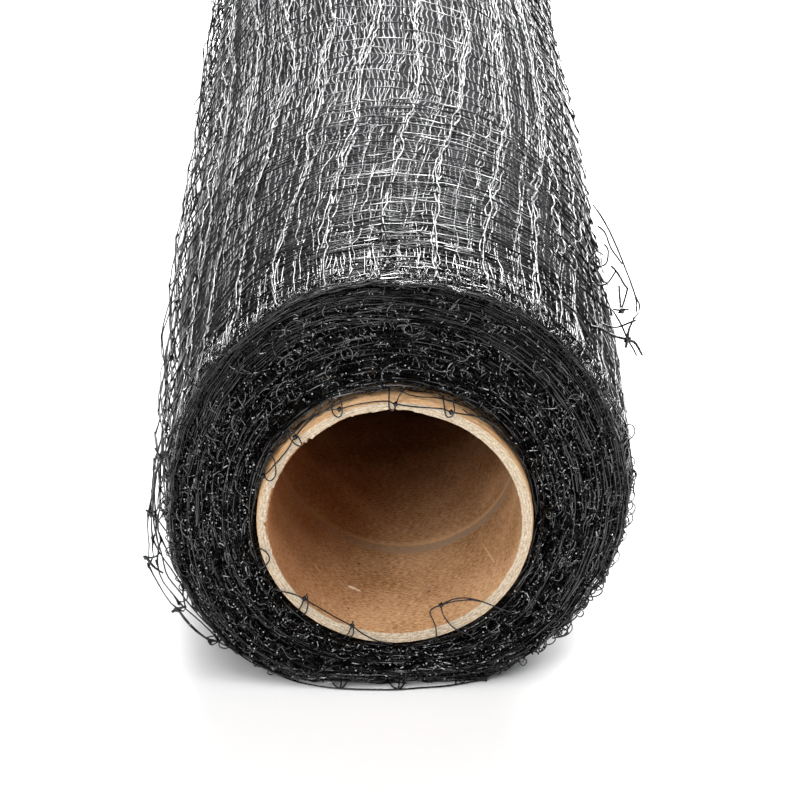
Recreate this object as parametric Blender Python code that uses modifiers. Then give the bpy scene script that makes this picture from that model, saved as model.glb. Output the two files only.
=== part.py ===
"""Bird netting roll: black stretched plastic net, folded and wound on a cardboard core, lying on its side.

Metres, +Z up. The core's axis runs along Y and its torn rim faces -Y.
The origin is on the floor, under the middle of everything that is built.

Four pieces, as they come apart by hand:
  core_tube   spiral-wound cardboard tube, a little longer than the wound net, with a torn inner rim
  net_roll    the wound net as one soft body: slumped round the core, ridged where its strands bunch
  loose_turn  the last turn of net where it has come away from the roll, open meshes
  loose_end   the cut end of the net, lifted off the other side, open meshes
"""

import math
from collections import namedtuple

import bmesh
import bpy

# ---------------------------------------------------------------- sizes, metres
NET_PITCH = 0.0162  # knot to knot, along the roll and round it
NET_LENGTH = 0.600  # the folded net's width, which lies along the core
WIND_RADIUS = 0.0690  # the wound net's outside
FLAT_DEPTH = 0.0025  # how much of the underside the floor presses flat
WIND_CENTRE_Z = WIND_RADIUS - FLAT_DEPTH

CORE_RADIUS = 0.0410
CORE_WALL = 0.0035
CORE_PROUD = 0.0065  # the core stands this far out of the net at each end
CORE_SAG = 0.0088  # the core's weight has pressed its way down through the soft net
CORE_CENTRE_Z = WIND_CENTRE_Z - CORE_SAG
CORE_LENGTH = NET_LENGTH + 2 * CORE_PROUD

SEAT_GAP = 0.0003  # between pieces that touch

# ---------------------------------------------------------------- the wound net's form
RIDGES = round(math.tau * WIND_RADIUS / NET_PITCH)  # one bunch of strands for each mesh round the roll
COLUMNS_PER_RIDGE = 4
RIDGE_HEIGHT = 0.0008
SHOULDER_ON_TOP, SHOULDER_BELOW = 0.0080, 0.0045  # how round the edge of a wound end is
LEAN_SIDEWAYS = 0.0190  # the bunches wander this far round the roll, and back again
LEAN_STARTS, LEAN_FULL = 0.035, 0.175  # distances from the torn rim's end of the net

Bulge = namedtuple("Bulge", "direction_deg spread_deg rise")
SLUMP = (
    Bulge(direction_deg=-130, spread_deg=52, rise=0.0052),
    Bulge(direction_deg=-55, spread_deg=50, rise=0.0022),
    Bulge(direction_deg=-4, spread_deg=34, rise=0.0014),
    Bulge(direction_deg=158, spread_deg=50, rise=-0.0026),
)

# The roll is a little thicker here and thinner there: two slow waves along it, which turn as they go.
Waist = namedtuple("Waist", "length rise turns")
WAISTS = (
    Waist(length=0.47, rise=0.0009, turns=2),
    Waist(length=0.19, rise=0.0006, turns=-1),
)

# How the wound end stands, from the core outwards: how far behind the core's rim each
# share of the net's thickness lies. The turns don't end level, so it steps in and out,
# and each step is higher on one side of the roll than on the other.
EndRing = namedtuple("EndRing", "share behind_rim")
END_RINGS = (
    EndRing(share=0.00, behind_rim=0.0076),
    EndRing(share=0.10, behind_rim=0.0050),
    EndRing(share=0.24, behind_rim=0.0060),
    EndRing(share=0.38, behind_rim=0.0042),
    EndRing(share=0.52, behind_rim=0.0058),
    EndRing(share=0.66, behind_rim=0.0043),
    EndRing(share=0.82, behind_rim=0.0052),
)
END_UNEVEN = 0.0007
END_FORWARD_BELOW = 0.0030  # the weight above pushes the front end's lower side forward
SHOULDER_STEPS_DEG = (12, 40, 68, 90)
LENGTH_STATIONS = 14

# ---------------------------------------------------------------- the loose net
STRAND_WIDTH = 0.0012
STRAND_THICKNESS = 0.0010
MESHES_ALONG = int(NET_LENGTH / NET_PITCH)

# The mid-surface of a loose net stands this clear of the roll where it still touches it.
FACET_ERROR = 0.00030  # the roll's long facets stray about this far from its true form
TOUCHING = STRAND_THICKNESS / 2 + SEAT_GAP + FACET_ERROR

LooseNet = namedtuple("LooseNet", "name meshes_round first_deg turns_towards stand_off")
LOOSE_TURN = LooseNet("loose_turn", meshes_round=5, first_deg=160, turns_towards=1, stand_off=0.0066)
LOOSE_END = LooseNet("loose_end", meshes_round=2, first_deg=46, turns_towards=-1, stand_off=0.0052)
END_FLARE = 0.0035  # the cut end lifts this much more near the torn rim's end
END_FLARE_REACH = 0.110

# ---------------------------------------------------------------- the torn rim
CORE_COLUMNS = 72
TEAR_CENTRE_DEG, TEAR_SPREAD_DEG = 150, 75  # upper left, seen from the front
TEAR_WIDTH = 0.0013
TEAR_DEPTH = 0.0026
RIM_CHAMFER = 0.0002


def smooth_step(x, start, full):
    t = min(1.0, max(0.0, (x - start) / (full - start)))
    return t * t * (3 - 2 * t)


def bump(angle, centre_deg, spread_deg):
    """1 at the centre direction, falling smoothly to 0 at the spread."""
    away = math.remainder(angle - math.radians(centre_deg), math.tau)
    if abs(away) >= math.radians(spread_deg):
        return 0.0
    return 0.5 + 0.5 * math.cos(math.pi * away / math.radians(spread_deg))


def plain_radius(angle, along):
    """The wound net's outside without its ridges. along is measured from the front end of the net."""
    slump = sum(b.rise * bump(angle, b.direction_deg, b.spread_deg) for b in SLUMP)
    waist = sum(w.rise * math.sin(math.tau * along / w.length + w.turns * angle) for w in WAISTS)
    return WIND_RADIUS + slump + waist * smooth_step(min(along, NET_LENGTH - along), 0.0, 0.06)


def lean(along):
    """How far the ridges have turned round the roll at this distance from the front end."""
    there = smooth_step(along, LEAN_STARTS, LEAN_FULL)
    back = smooth_step(along, LEAN_FULL, NET_LENGTH - LEAN_STARTS)
    return -LEAN_SIDEWAYS / WIND_RADIUS * (there - back)


def ridge(column_angle, along):
    """The bunched strands' height, between 0 and RIDGE_HEIGHT, uneven round the roll and along it."""
    wave = 0.5 + 0.5 * math.cos(RIDGES * column_angle)
    uneven = 0.62 + 0.38 * math.sin(5 * column_angle + 31 * along) * math.cos(3 * column_angle - 17 * along)
    return RIDGE_HEIGHT * wave * uneven


def front_y(along):
    return -NET_LENGTH / 2 + along


def below(angle):
    """0 on top of the roll, 1 underneath it."""
    return 0.5 - 0.5 * math.sin(angle)


def end_y(angle, along, at_back):
    """Where a point of a wound end lies, along metres in from the end."""
    if at_back:
        return front_y(NET_LENGTH - along)
    return front_y(along - END_FORWARD_BELOW * below(angle))


def shoulder_radius(angle):
    return SHOULDER_ON_TOP + (SHOULDER_BELOW - SHOULDER_ON_TOP) * below(angle)


# ---------------------------------------------------------------- building
def material(name, colour, roughness):
    made = bpy.data.materials.new(name)
    made.use_nodes = True
    shader = made.node_tree.nodes["Principled BSDF"]
    shader.inputs["Base Color"].default_value = (*colour, 1.0)
    shader.inputs["Roughness"].default_value = roughness
    shader.inputs["Metallic"].default_value = 0.0
    return made


def finish_object(name, mesh, finish, collection, sharp_deg):
    mesh.materials.append(finish)
    mesh.shade_smooth()
    mesh.set_sharp_from_angle(angle=math.radians(sharp_deg))
    made = bpy.data.objects.new(name, mesh)
    collection.objects.link(made)
    return made


def lofted_ring(name, rings, finish, collection, sharp_deg):
    """A ring-shaped solid lofted through rings of points: each joins the next, the last joins the first."""
    build = bmesh.new()
    corners = [[build.verts.new(point) for point in ring] for ring in rings]
    columns = len(rings[0])
    for first, second in zip(corners, corners[1:] + corners[:1]):
        for j in range(columns):
            after = (j + 1) % columns
            build.faces.new((first[j], first[after], second[after], second[j]))
    bmesh.ops.recalc_face_normals(build, faces=build.faces)
    mesh = bpy.data.meshes.new(name)
    build.to_mesh(mesh)
    build.free()
    return finish_object(name, mesh, finish, collection, sharp_deg)


def core_ring(radius, y):
    """One ring of the core: radius and y may each be a number or a function of the angle."""
    ring = []
    for j in range(CORE_COLUMNS):
        angle = math.tau * j / CORE_COLUMNS
        r = radius(angle) if callable(radius) else radius
        at = y(angle) if callable(y) else y
        ring.append((r * math.cos(angle), at, CORE_CENTRE_Z + r * math.sin(angle)))
    return ring


def tear(angle):
    """How badly the rim's inner edge is torn in this direction, from 0 to 1."""
    ragged = 0.55 + 0.30 * math.sin(13 * angle) + 0.15 * math.sin(31 * angle + 1.0)
    return bump(angle, TEAR_CENTRE_DEG, TEAR_SPREAD_DEG) * ragged


def core_tube(finish, collection):
    bore = CORE_RADIUS - CORE_WALL
    front, back = -CORE_LENGTH / 2, CORE_LENGTH / 2
    rings = [
        core_ring(CORE_RADIUS, front + RIM_CHAMFER),
        core_ring(CORE_RADIUS - RIM_CHAMFER, front),
        core_ring(lambda a: bore + RIM_CHAMFER + TEAR_WIDTH * tear(a), front),
        core_ring(bore, lambda a: front + RIM_CHAMFER + TEAR_DEPTH * tear(a)),
        core_ring(bore, back - RIM_CHAMFER),
        core_ring(bore + RIM_CHAMFER, back),
        core_ring(CORE_RADIUS - RIM_CHAMFER, back),
        core_ring(CORE_RADIUS, back - RIM_CHAMFER),
    ]
    return lofted_ring("core_tube", rings, finish, collection, sharp_deg=30)


def wind_angles(along):
    columns = RIDGES * COLUMNS_PER_RIDGE
    return [(math.tau * j / columns, math.tau * j / columns + lean(along)) for j in range(columns)]


def outside_point(column_angle, angle, along, inset=0.0):
    """Across and up: a point of the net's outside, drawn in by inset and pressed flat by the floor."""
    r = plain_radius(angle, along) + ridge(column_angle, along) - inset
    return r * math.cos(angle), max(WIND_CENTRE_Z + r * math.sin(angle), 0.0)


def outside_ring(along):
    """The net's outside at this distance from its front end."""
    ring = []
    for column_angle, angle in wind_angles(along):
        x, z = outside_point(column_angle, angle, along)
        ring.append((x, front_y(along), z))
    return ring


def end_ring(share, behind_rim, at_back):
    """One ring of a wound end, at a share of the way from the core to the rounded shoulder."""
    hole = CORE_RADIUS + SEAT_GAP
    end = NET_LENGTH if at_back else 0.0
    ring = []
    for column_angle, angle in wind_angles(end):
        inner_x, inner_z = hole * math.cos(angle), CORE_CENTRE_Z + hole * math.sin(angle)
        x, z = outside_point(column_angle, angle, end, inset=shoulder_radius(angle))
        along = behind_rim - CORE_PROUD + END_UNEVEN * math.sin(2 * angle + 11 * share)
        y = end_y(angle, along, at_back)
        ring.append((inner_x + share * (x - inner_x), y, inner_z + share * (z - inner_z)))
    return ring


def shoulder_ring(turn_deg, at_back):
    """One ring of the rounded shoulder: 0 degrees is its inner edge, on the end, and 90 its outer one."""
    turn = math.radians(turn_deg)
    end = NET_LENGTH if at_back else 0.0
    ring = []
    for column_angle, angle in wind_angles(end):
        radius = shoulder_radius(angle)
        x, z = outside_point(column_angle, angle, end, inset=radius * (1 - math.sin(turn)))
        y = end_y(angle, radius * (1 - math.cos(turn)), at_back)
        ring.append((x, y, z))
    return ring


def net_roll(finish, collection):
    ends = [
        [end_ring(r.share, r.behind_rim, at_back) for r in END_RINGS]
        + [shoulder_ring(step, at_back) for step in SHOULDER_STEPS_DEG]
        for at_back in (False, True)
    ]
    body_start, body_end = SHOULDER_ON_TOP, NET_LENGTH - SHOULDER_ON_TOP
    stations = [
        body_start + (body_end - body_start) * (k / LENGTH_STATIONS) ** 1.3 for k in range(1, LENGTH_STATIONS)
    ]
    rings = ends[0] + [outside_ring(along) for along in stations] + ends[1][::-1]
    return lofted_ring("net_roll", rings, finish, collection, sharp_deg=60)


def net_lines(meshes, pitch):
    """Where a row of strands has its two sides: a pair of lines for each strand."""
    return [k * pitch + side * STRAND_WIDTH / 2 for k in range(meshes + 1) for side in (-1, 1)]


def loose_place(net, round_way, along):
    """A point of a loose net's mid-surface, round_way metres round the roll from its first strand."""
    share = round_way / (net.meshes_round * NET_PITCH)
    angle = math.radians(net.first_deg) + net.turns_towards * round_way / (WIND_RADIUS + net.stand_off)
    if net is LOOSE_END:
        lifted = net.stand_off * math.sin(math.pi / 2 * min(1.0, max(0.0, share))) ** 0.8
        lifted += END_FLARE * smooth_step(share, 0.1, 1.0) * (1 - smooth_step(along, 0.02, END_FLARE_REACH))
        off_roll = smooth_step(share, 0.0, 0.5)
    else:
        lifted = net.stand_off * math.sin(math.pi * min(1.0, max(0.0, share))) ** 0.8
        off_roll = smooth_step(share, 0.0, 0.2)
    lifted *= 0.88 + 0.12 * math.cos(math.tau * along / 0.155 + 3 * share)
    seat = max(ridge(angle - lean(along), along), RIDGE_HEIGHT * off_roll)
    r = plain_radius(angle, along) + seat + TOUCHING + lifted
    return (r * math.cos(angle), front_y(along), WIND_CENTRE_Z + r * math.sin(angle))


def loose_net(net, finish, collection):
    """A bent sheet of square meshes: a grid whose lines are the strands' sides, with the meshes taken out."""
    round_lines = net_lines(net.meshes_round, NET_PITCH)
    along_pitch = (NET_LENGTH - STRAND_WIDTH) / MESHES_ALONG
    along_lines = [STRAND_WIDTH / 2 + line for line in net_lines(MESHES_ALONG, along_pitch)]

    build = bmesh.new()
    bmesh.ops.create_grid(
        build, x_segments=len(round_lines) - 1, y_segments=len(along_lines) - 1, size=0.5
    )
    column, row = {}, {}
    for vert in build.verts:
        column[vert] = round((vert.co.x + 0.5) * (len(round_lines) - 1))
        row[vert] = round((vert.co.y + 0.5) * (len(along_lines) - 1))
    meshes = [
        face
        for face in build.faces
        if min(column[v] for v in face.verts) % 2 == 1 and min(row[v] for v in face.verts) % 2 == 1
    ]
    for vert in build.verts:
        vert.co = loose_place(net, round_lines[column[vert]], along_lines[row[vert]])
    bmesh.ops.delete(build, geom=meshes, context="FACES")
    bmesh.ops.recalc_face_normals(build, faces=build.faces)
    mesh = bpy.data.meshes.new(net.name)
    build.to_mesh(mesh)
    build.free()
    made = finish_object(net.name, mesh, finish, collection, sharp_deg=40)
    thicken = made.modifiers.new("strand thickness", "SOLIDIFY")
    thicken.thickness = STRAND_THICKNESS
    thicken.offset = 0.0
    return made


def centre_over_origin(objects):
    """Moves everything sideways and lengthways so that the origin is under its middle."""
    bpy.context.view_layer.update()
    finished = bpy.context.evaluated_depsgraph_get()
    corners = [vert.co.copy() for made in objects for vert in made.evaluated_get(finished).data.vertices]
    for axis in (0, 1):
        values = [corner[axis] for corner in corners]
        middle = (min(values) + max(values)) / 2
        for made in objects:
            made.location[axis] -= middle


def main():
    for old in list(bpy.data.objects):
        bpy.data.objects.remove(old)
    collection = bpy.data.collections.new("bird netting roll")
    bpy.context.scene.collection.children.link(collection)

    board = material("core board", (0.45, 0.27, 0.13), roughness=0.85)
    netting = material("black net plastic", (0.018, 0.018, 0.020), roughness=0.35)

    centre_over_origin(
        [
            core_tube(board, collection),
            net_roll(netting, collection),
            loose_net(LOOSE_TURN, netting, collection),
            loose_net(LOOSE_END, netting, collection),
        ]
    )


main()
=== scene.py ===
"""A roll of bird netting: black stretched net wound on a cardboard core, lying on a white table.

Metres, +Z up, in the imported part's own frame. The core's axis runs along Y and its torn rim faces
-Y, the near end. Directions round the roll start at +X, so 90 degrees is its top. "Along" is a
distance behind the net's near end, and "lift" is a height off its surface.
"""

import math

import bpy
import numpy as np
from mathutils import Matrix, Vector
from mathutils.bvhtree import BVHTree


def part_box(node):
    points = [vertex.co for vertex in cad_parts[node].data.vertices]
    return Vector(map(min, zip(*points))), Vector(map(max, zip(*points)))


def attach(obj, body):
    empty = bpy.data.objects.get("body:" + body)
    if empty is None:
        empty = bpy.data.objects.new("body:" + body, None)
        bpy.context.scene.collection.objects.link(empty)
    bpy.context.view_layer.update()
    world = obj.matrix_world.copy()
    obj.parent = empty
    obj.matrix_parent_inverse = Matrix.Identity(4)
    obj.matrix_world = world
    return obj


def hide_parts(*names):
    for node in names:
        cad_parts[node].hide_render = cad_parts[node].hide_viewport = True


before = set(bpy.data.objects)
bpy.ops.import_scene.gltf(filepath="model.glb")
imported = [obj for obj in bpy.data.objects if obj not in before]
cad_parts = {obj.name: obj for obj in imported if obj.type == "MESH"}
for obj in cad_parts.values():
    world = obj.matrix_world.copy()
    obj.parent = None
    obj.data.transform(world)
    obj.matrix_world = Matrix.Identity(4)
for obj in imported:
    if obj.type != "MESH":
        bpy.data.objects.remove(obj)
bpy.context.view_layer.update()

MM = 0.001


# ---------------------------------------------------------------- the camera
# A long lens looks down along the roll from above its near end, a little to the left of its axis,
# so that the roll narrows only slightly towards its far end.

core_low, core_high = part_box("core_tube")
core_centre = (core_low + core_high) / 2
rim_y = core_low.y

LENS_MM, SENSOR_MM = 131.65, 36.0
CAMERA_FROM_RIM = Vector((-9.1 * MM, -754.8 * MM, 422.5 * MM))  # from the middle of the near rim
CAMERA_DOWN_DEG, CAMERA_RIGHT_DEG = 26.79, 0.80

lens = bpy.data.cameras.new("camera")
lens.lens = LENS_MM
lens.sensor_width = SENSOR_MM
lens.clip_start = 50 * MM
camera = bpy.data.objects.new("camera", lens)
camera.location = Vector((core_centre.x, rim_y, core_centre.z)) + CAMERA_FROM_RIM
camera.rotation_euler = (math.radians(90 - CAMERA_DOWN_DEG), 0, math.radians(-CAMERA_RIGHT_DEG))
bpy.context.scene.collection.objects.link(camera)
bpy.context.scene.camera = camera
bpy.context.scene.view_settings.view_transform = "Standard"


# ---------------------------------------------------------------- the studio
# A white laminate table under a bright tent of white cloth. The wall of light behind the roll is
# the strongest: strands that run along the roll mirror it, and shine white against the black net.

def linear(hex_colour):
    """An sRGB hex colour as the linear RGBA that a shader takes."""
    channels = [int(hex_colour[i : i + 2], 16) / 255 for i in (1, 3, 5)]
    return (*[c / 12.92 if c <= 0.04045 else ((c + 0.055) / 1.055) ** 2.4 for c in channels], 1.0)


def add_node(tree, kind, stops=(), **given):
    """Adds a shader node. in_... is a socket, by its name or number: a value sets it and another
    node links to it, by its first output or the one given. stops are a colour ramp's (position,
    colour), in order. Anything else is a setting of the node's own."""
    node = tree.nodes.new("ShaderNode" + kind)
    for name, value in given.items():
        if not name.startswith("in_"):
            setattr(node, name, value)
    open_sockets = [socket for socket in node.inputs if socket.enabled]
    for name, value in given.items():
        if not name.startswith("in_"):
            continue
        key = name[3:].replace("_", " ")
        socket = open_sockets[int(key)] if key.isdigit() else next(s for s in open_sockets if s.name == key)
        if isinstance(value, bpy.types.Node):
            value = next(output for output in value.outputs if output.enabled)
        if isinstance(value, bpy.types.NodeSocket):
            tree.links.new(value, socket)
        else:
            socket.default_value = value
    for number, (position, colour) in enumerate(stops):
        ends = {0: 0, len(stops) - 1: -1}
        elements = node.color_ramp.elements
        element = elements[ends[number]] if number in ends else elements.new(position)
        element.position = position
        element.color = colour
    return node


def new_material(name):
    """A material with an empty node tree, and that tree."""
    made = bpy.data.materials.new(name)
    made.use_nodes = True
    made.node_tree.nodes.clear()
    return made, made.node_tree


world = bpy.data.worlds.new("tent")
world.use_nodes = True
tent = world.node_tree
tent_light = tent.nodes["Background"]
tent_light.inputs["Color"].default_value = linear("#ffffff")
direction = add_node(tent, "TexCoord").outputs["Generated"]
height = add_node(tent, "SeparateXYZ", in_Vector=direction).outputs["Z"]
brighter_above = add_node(
    tent, "MapRange", in_Value=height, in_From_Min=0.05, in_From_Max=0.75, in_To_Min=0.06, in_To_Max=0.36
)
tent.links.new(brighter_above.outputs[0], tent_light.inputs["Strength"])
bpy.context.scene.world = world

# White laminate, pressed with a fine matte grain: a plain pale surface with no reflection of the roll.
FLOOR_SIZE = 9.0
GRAIN = 25 * MM  # far coarser than the real one, which would not show
bpy.ops.mesh.primitive_plane_add(size=FLOOR_SIZE)
floor = bpy.context.object
floor.name = "floor"
table_white, tree = new_material("white laminate table")
grain = add_node(tree, "TexNoise", in_Scale=1 / GRAIN, in_Detail=3.0)
rough = add_node(tree, "MapRange", in_Value=grain, in_To_Min=0.80, in_To_Max=0.90)
laminate = add_node(
    tree, "BsdfPrincipled", in_Base_Color=linear("#f3f3f3"), in_Roughness=rough, in_Specular_IOR_Level=0.15
)
add_node(tree, "OutputMaterial", in_Surface=laminate)
floor.data.materials.append(table_white)


def softbox(name, place, looks_at, size, radiance):
    """A rectangular light of even brightness. Its power follows from its area."""
    light = bpy.data.lights.new(name, "AREA")
    light.shape = "RECTANGLE"
    light.size, light.size_y = size
    light.energy = radiance * math.pi * size[0] * size[1]
    lamp = bpy.data.objects.new(name, light)
    lamp.location = place
    lamp.rotation_euler = (Vector(looks_at) - Vector(place)).to_track_quat("-Z", "Y").to_euler()
    bpy.context.scene.collection.objects.link(lamp)


NEAR_END = (0, -0.3, 0.06)
softbox("back wall of light", (0.35, 1.9, 1.13), (0, 0, 0.30), (1.45, 1.0), radiance=34.0)
softbox("upper back light", (0.20, 1.15, 1.75), (0, 0, 0.1), (1.3, 1.2), radiance=17.0)
softbox("overhead light", (-0.50, -0.55, 1.5), (0, -0.1, 0.0), (0.6, 0.6), radiance=7.0)
softbox("front top softbox", (-0.15, -1.45, 1.9), NEAR_END, (0.9, 0.7), radiance=6.0)
softbox("left front softbox", (-0.95, -1.9, 1.35), NEAR_END, (1.0, 0.9), radiance=8.5)
softbox("small right light", (1.1, -0.9, 1.6), NEAR_END, (0.45, 0.45), radiance=9.0)


# ---------------------------------------------------------------- the cardboard core
# A spiral-wound tube of grey-brown board with a kraft paper skin inside and out. It was sawn to
# length: the cut face is pale raw pulp, and the skin tore away along the upper left of the bore.

CORE_RADIUS = core_high.x - core_centre.x
CORE_WALL = 3.5 * MM
BORE_RADIUS = CORE_RADIUS - CORE_WALL
SKIN_PLY = 0.24 * MM  # the outermost ply of paper
BOARD_LAYERS = 9
CORE_COLUMNS = 360
SEAM_PITCH = 34 * MM  # the bore's skin is a ribbon, wound with this advance for each turn
SEAM_DEPTH_BELOW = 54 * MM  # where its joint crosses the bottom of the bore
SEAM_WIDTH = 1.2 * MM
TEAR_FROM_DEG, TEAR_TO_DEG = 84, 196  # 90 is the top, 180 the left
TEAR_SOFT_DEG = 16
BITES = 62  # the paper tore in short runs, each ending in a step


def fill_mesh(name, points, faces, smooth=True):
    """A mesh from arrays of points and of faces with the same number of corners."""
    mesh = bpy.data.meshes.new(name)
    mesh.vertices.add(len(points))
    mesh.vertices.foreach_set("co", points.astype(np.float32).ravel())
    corners = faces.shape[1]
    mesh.loops.add(faces.size)
    mesh.loops.foreach_set("vertex_index", faces.astype(np.int32).ravel())
    mesh.polygons.add(len(faces))
    mesh.polygons.foreach_set("loop_start", np.arange(0, faces.size, corners, dtype=np.int32))
    mesh.polygons.foreach_set("loop_total", np.full(len(faces), corners, dtype=np.int32))
    mesh.update(calc_edges=True)
    mesh.validate()
    if smooth:
        mesh.shade_smooth()
    else:
        mesh.shade_flat()
    return mesh


def lofted_mesh(name, rings):
    """A closed mesh lofted through rings of points, rings by columns by 3, and back to the first."""
    ring_count, columns, _ = rings.shape
    index = np.arange(ring_count * columns).reshape(ring_count, columns)
    index = np.concatenate([index, index[:, :1]], axis=1)
    index = np.concatenate([index, index[:1]], axis=0)
    quads = np.stack([index[:-1, :-1], index[:-1, 1:], index[1:, 1:], index[1:, :-1]], axis=-1)
    return fill_mesh(name, rings.reshape(-1, 3), quads.reshape(-1, 4))


def show(name, mesh, finishes):
    """Links a finished mesh as a piece that rides on the part, with its materials."""
    piece = bpy.data.objects.new(name, mesh)
    for finish in finishes:
        mesh.materials.append(finish)
    bpy.context.scene.collection.objects.link(piece)
    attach(piece, "root")
    return piece


def ragged(angles, waves, seed):
    """A rough line round the tube: a sum of waves, each (times round, height)."""
    phases = np.random.default_rng(seed).uniform(0, math.tau, len(waves))
    return sum(height * np.sin(count * angles + phase) for (count, height), phase in zip(waves, phases))


def arc_mask(angles, from_deg, to_deg, soft_deg):
    """1 between two directions, falling to 0 outside them."""
    middle, half = math.radians((from_deg + to_deg) / 2), math.radians((to_deg - from_deg) / 2)
    away = np.abs((angles - middle + math.pi) % math.tau - math.pi)
    return np.clip((half - away) / math.radians(soft_deg) + 0.5, 0, 1)


angles = np.linspace(0, math.tau, CORE_COLUMNS, endpoint=False)
torn = arc_mask(angles, TEAR_FROM_DEG, TEAR_TO_DEG, TEAR_SOFT_DEG)
core_rng = np.random.default_rng(7)
bites = np.sort(core_rng.uniform(0, math.tau, BITES))
bite_from = core_rng.uniform(0.3, 1.0, BITES + 1)
bite_to = core_rng.uniform(0.0, 0.45, BITES + 1)
run = np.searchsorted(bites, angles)
run_start = np.append(0, bites)[run]
run_share = (angles - run_start) / (np.append(bites, math.tau)[run] - run_start)
notches = bite_from[run] * (1 - run_share) + bite_to[run] * run_share
notches = np.clip(notches + 0.10 * core_rng.uniform(-1, 1, CORE_COLUMNS), 0, None)
tear_out = (torn * 1.75 + 0.12) * notches * MM  # how far the bore's edge is eaten away, into the wall
tear_deep = (torn * 2.4 + 0.2) * notches * MM  # and how far behind the rim
saw_wave = ragged(angles, [(3, 0.10), (7, 0.06), (61, 0.03), (113, 0.03)], seed=4) * MM
# the outermost ply of paper ends in a ragged step, a little way behind the rim
ply_end = (2.1 + ragged(angles, [(9, 0.45), (23, 0.40), (47, 0.30), (89, 0.20)], seed=9)) * MM
outer_edge = CORE_RADIUS - SKIN_PLY + ragged(angles, [(5, 0.04), (19, 0.03), (53, 0.02)], seed=5) * MM
inner_edge = BORE_RADIUS + tear_out + ragged(angles, [(11, 0.03), (37, 0.03)], seed=6) * MM

SKIN, CUT, BORE = 0, 1, 2  # the core's three finishes
rings, ring_finish = [], []


def add_ring(finish, radius, y):
    """One more ring of the core's surface. The faces from it to the next one have this finish."""
    ring = np.empty((CORE_COLUMNS, 3))
    ring[:, 0] = core_centre.x + radius * np.cos(angles)
    ring[:, 1] = y
    ring[:, 2] = core_centre.z + radius * np.sin(angles)
    rings.append(ring)
    ring_finish.append(finish)


# the outside, from the back to the front
back_y = core_high.y
add_ring(SKIN, CORE_RADIUS, back_y - 0.4 * MM)
for along in (0.6, 0.25, 0.06, 0.015):
    add_ring(SKIN, CORE_RADIUS, rim_y + along * (back_y - rim_y))
add_ring(SKIN, CORE_RADIUS, rim_y + ply_end + 0.4 * MM)
add_ring(CUT, CORE_RADIUS, rim_y + ply_end)
add_ring(SKIN, CORE_RADIUS - SKIN_PLY, rim_y + ply_end - 0.08 * MM)
add_ring(SKIN, outer_edge, rim_y + 0.25 * MM + saw_wave)
# the cut face, with its layers of board standing a hair higher and lower
for layer in range(BOARD_LAYERS + 1):
    share = layer / BOARD_LAYERS
    radius = outer_edge - 0.12 * MM + (inner_edge + 0.15 * MM - outer_edge) * share
    step = (0.05 if layer % 2 else -0.03) * MM * (0 < layer < BOARD_LAYERS)
    lift = ragged(angles, [(29 + 4 * layer, 0.03), (83 + layer, 0.02)], seed=10 + layer) * MM
    add_ring(CUT, radius, rim_y + 0.05 * MM + saw_wave + step + lift)
# the bore, from the front to the back: first the tear, then the groove of the skin's joint
for depth in np.array([0.3, 0.8, 1.4, 2.2, 3.2, 4.5, 6, 9]) * MM:
    healed = np.clip(1 - depth / (0.3 * MM + tear_deep), 0, 1)
    radius = BORE_RADIUS + (inner_edge - BORE_RADIUS) * healed
    add_ring(BORE, radius, rim_y + depth + saw_wave * (depth < 3 * MM))
for depth in [*np.arange(12, 80, 2.5) * MM, *np.arange(84, 180, 16) * MM, *np.arange(220, 600, 60) * MM]:
    turns = (depth - SEAM_DEPTH_BELOW) / SEAM_PITCH + (angles - 1.5 * math.pi) / math.tau
    off_seam = (turns + 0.5) % 1.0 - 0.5
    groove = np.exp(-((off_seam * SEAM_PITCH / SEAM_WIDTH) ** 2))
    add_ring(BORE, BORE_RADIUS + 0.12 * MM * groove, rim_y + depth)
add_ring(BORE, BORE_RADIUS, back_y - 0.3 * MM)
add_ring(CUT, BORE_RADIUS + 0.3 * MM, back_y)
add_ring(CUT, CORE_RADIUS - 0.3 * MM, back_y)
core_mesh = lofted_mesh("core board", np.array(rings))


def fleck(tree, unrolled, skin, arc_mm, depth_mm, turned, size_mm, hue):
    """A fleck or scratch on the bore's skin: its place and size on the unrolled paper, and its slant."""
    near = add_node(
        tree, "Mapping", vector_type="TEXTURE", in_Vector=unrolled,
        in_Location=(arc_mm * MM, rim_y + depth_mm * MM, 0),
        in_Rotation=(0, 0, math.radians(turned)), in_Scale=(size_mm[0] * MM, size_mm[1] * MM, 1),
    )
    away = add_node(tree, "VectorMath", operation="LENGTH", in_0=near)
    share = add_node(tree, "MapRange", in_Value=away, in_From_Min=1.0, in_From_Max=0.7, in_To_Max=0.8)
    return add_node(tree, "Mix", data_type="RGBA", in_Factor=share, in_A=skin, in_B=linear(hue))


def grey(strength):
    """A strength from 0 to 1 as a colour."""
    return (strength, strength, strength, 1)


# Sizes in the paper and board. Real fibres are some 0.04 mm wide, too fine to show, so they are
# drawn ten times as coarse.
BLOTCH = MM / 0.045
PAPER_FIBRE = MM / 2.3
BORE_CRUMPLE, SEAM_WOBBLE = MM / 0.9, MM / 0.03
SPECK_SPACING = MM / 0.26
BOARD_FIBRE, PULP_GRAIN, BOARD_WARP = MM / 1.9, MM / 2.3, MM / 0.12
BOARD_LAYER = 0.85 * MM
SHADE_LEFT_FROM, SHADE_LEFT_FULL = -0.1, -1.5  # radians round the bore, up its left side, where the painted shade lies
DEEP_SHADE_FROM, DEEP_SHADE_FULL = 84 * MM, 190 * MM  # behind the rim: where the painted shade deep in the bore starts, and where it is full
SEAM_SHIFT = 0.275  # brings the joint to the bands below, in shares of a turn
SEAM_SHOWN_TURN = 0.35  # the turn in which the joint's colours show, counted in the same way
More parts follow.
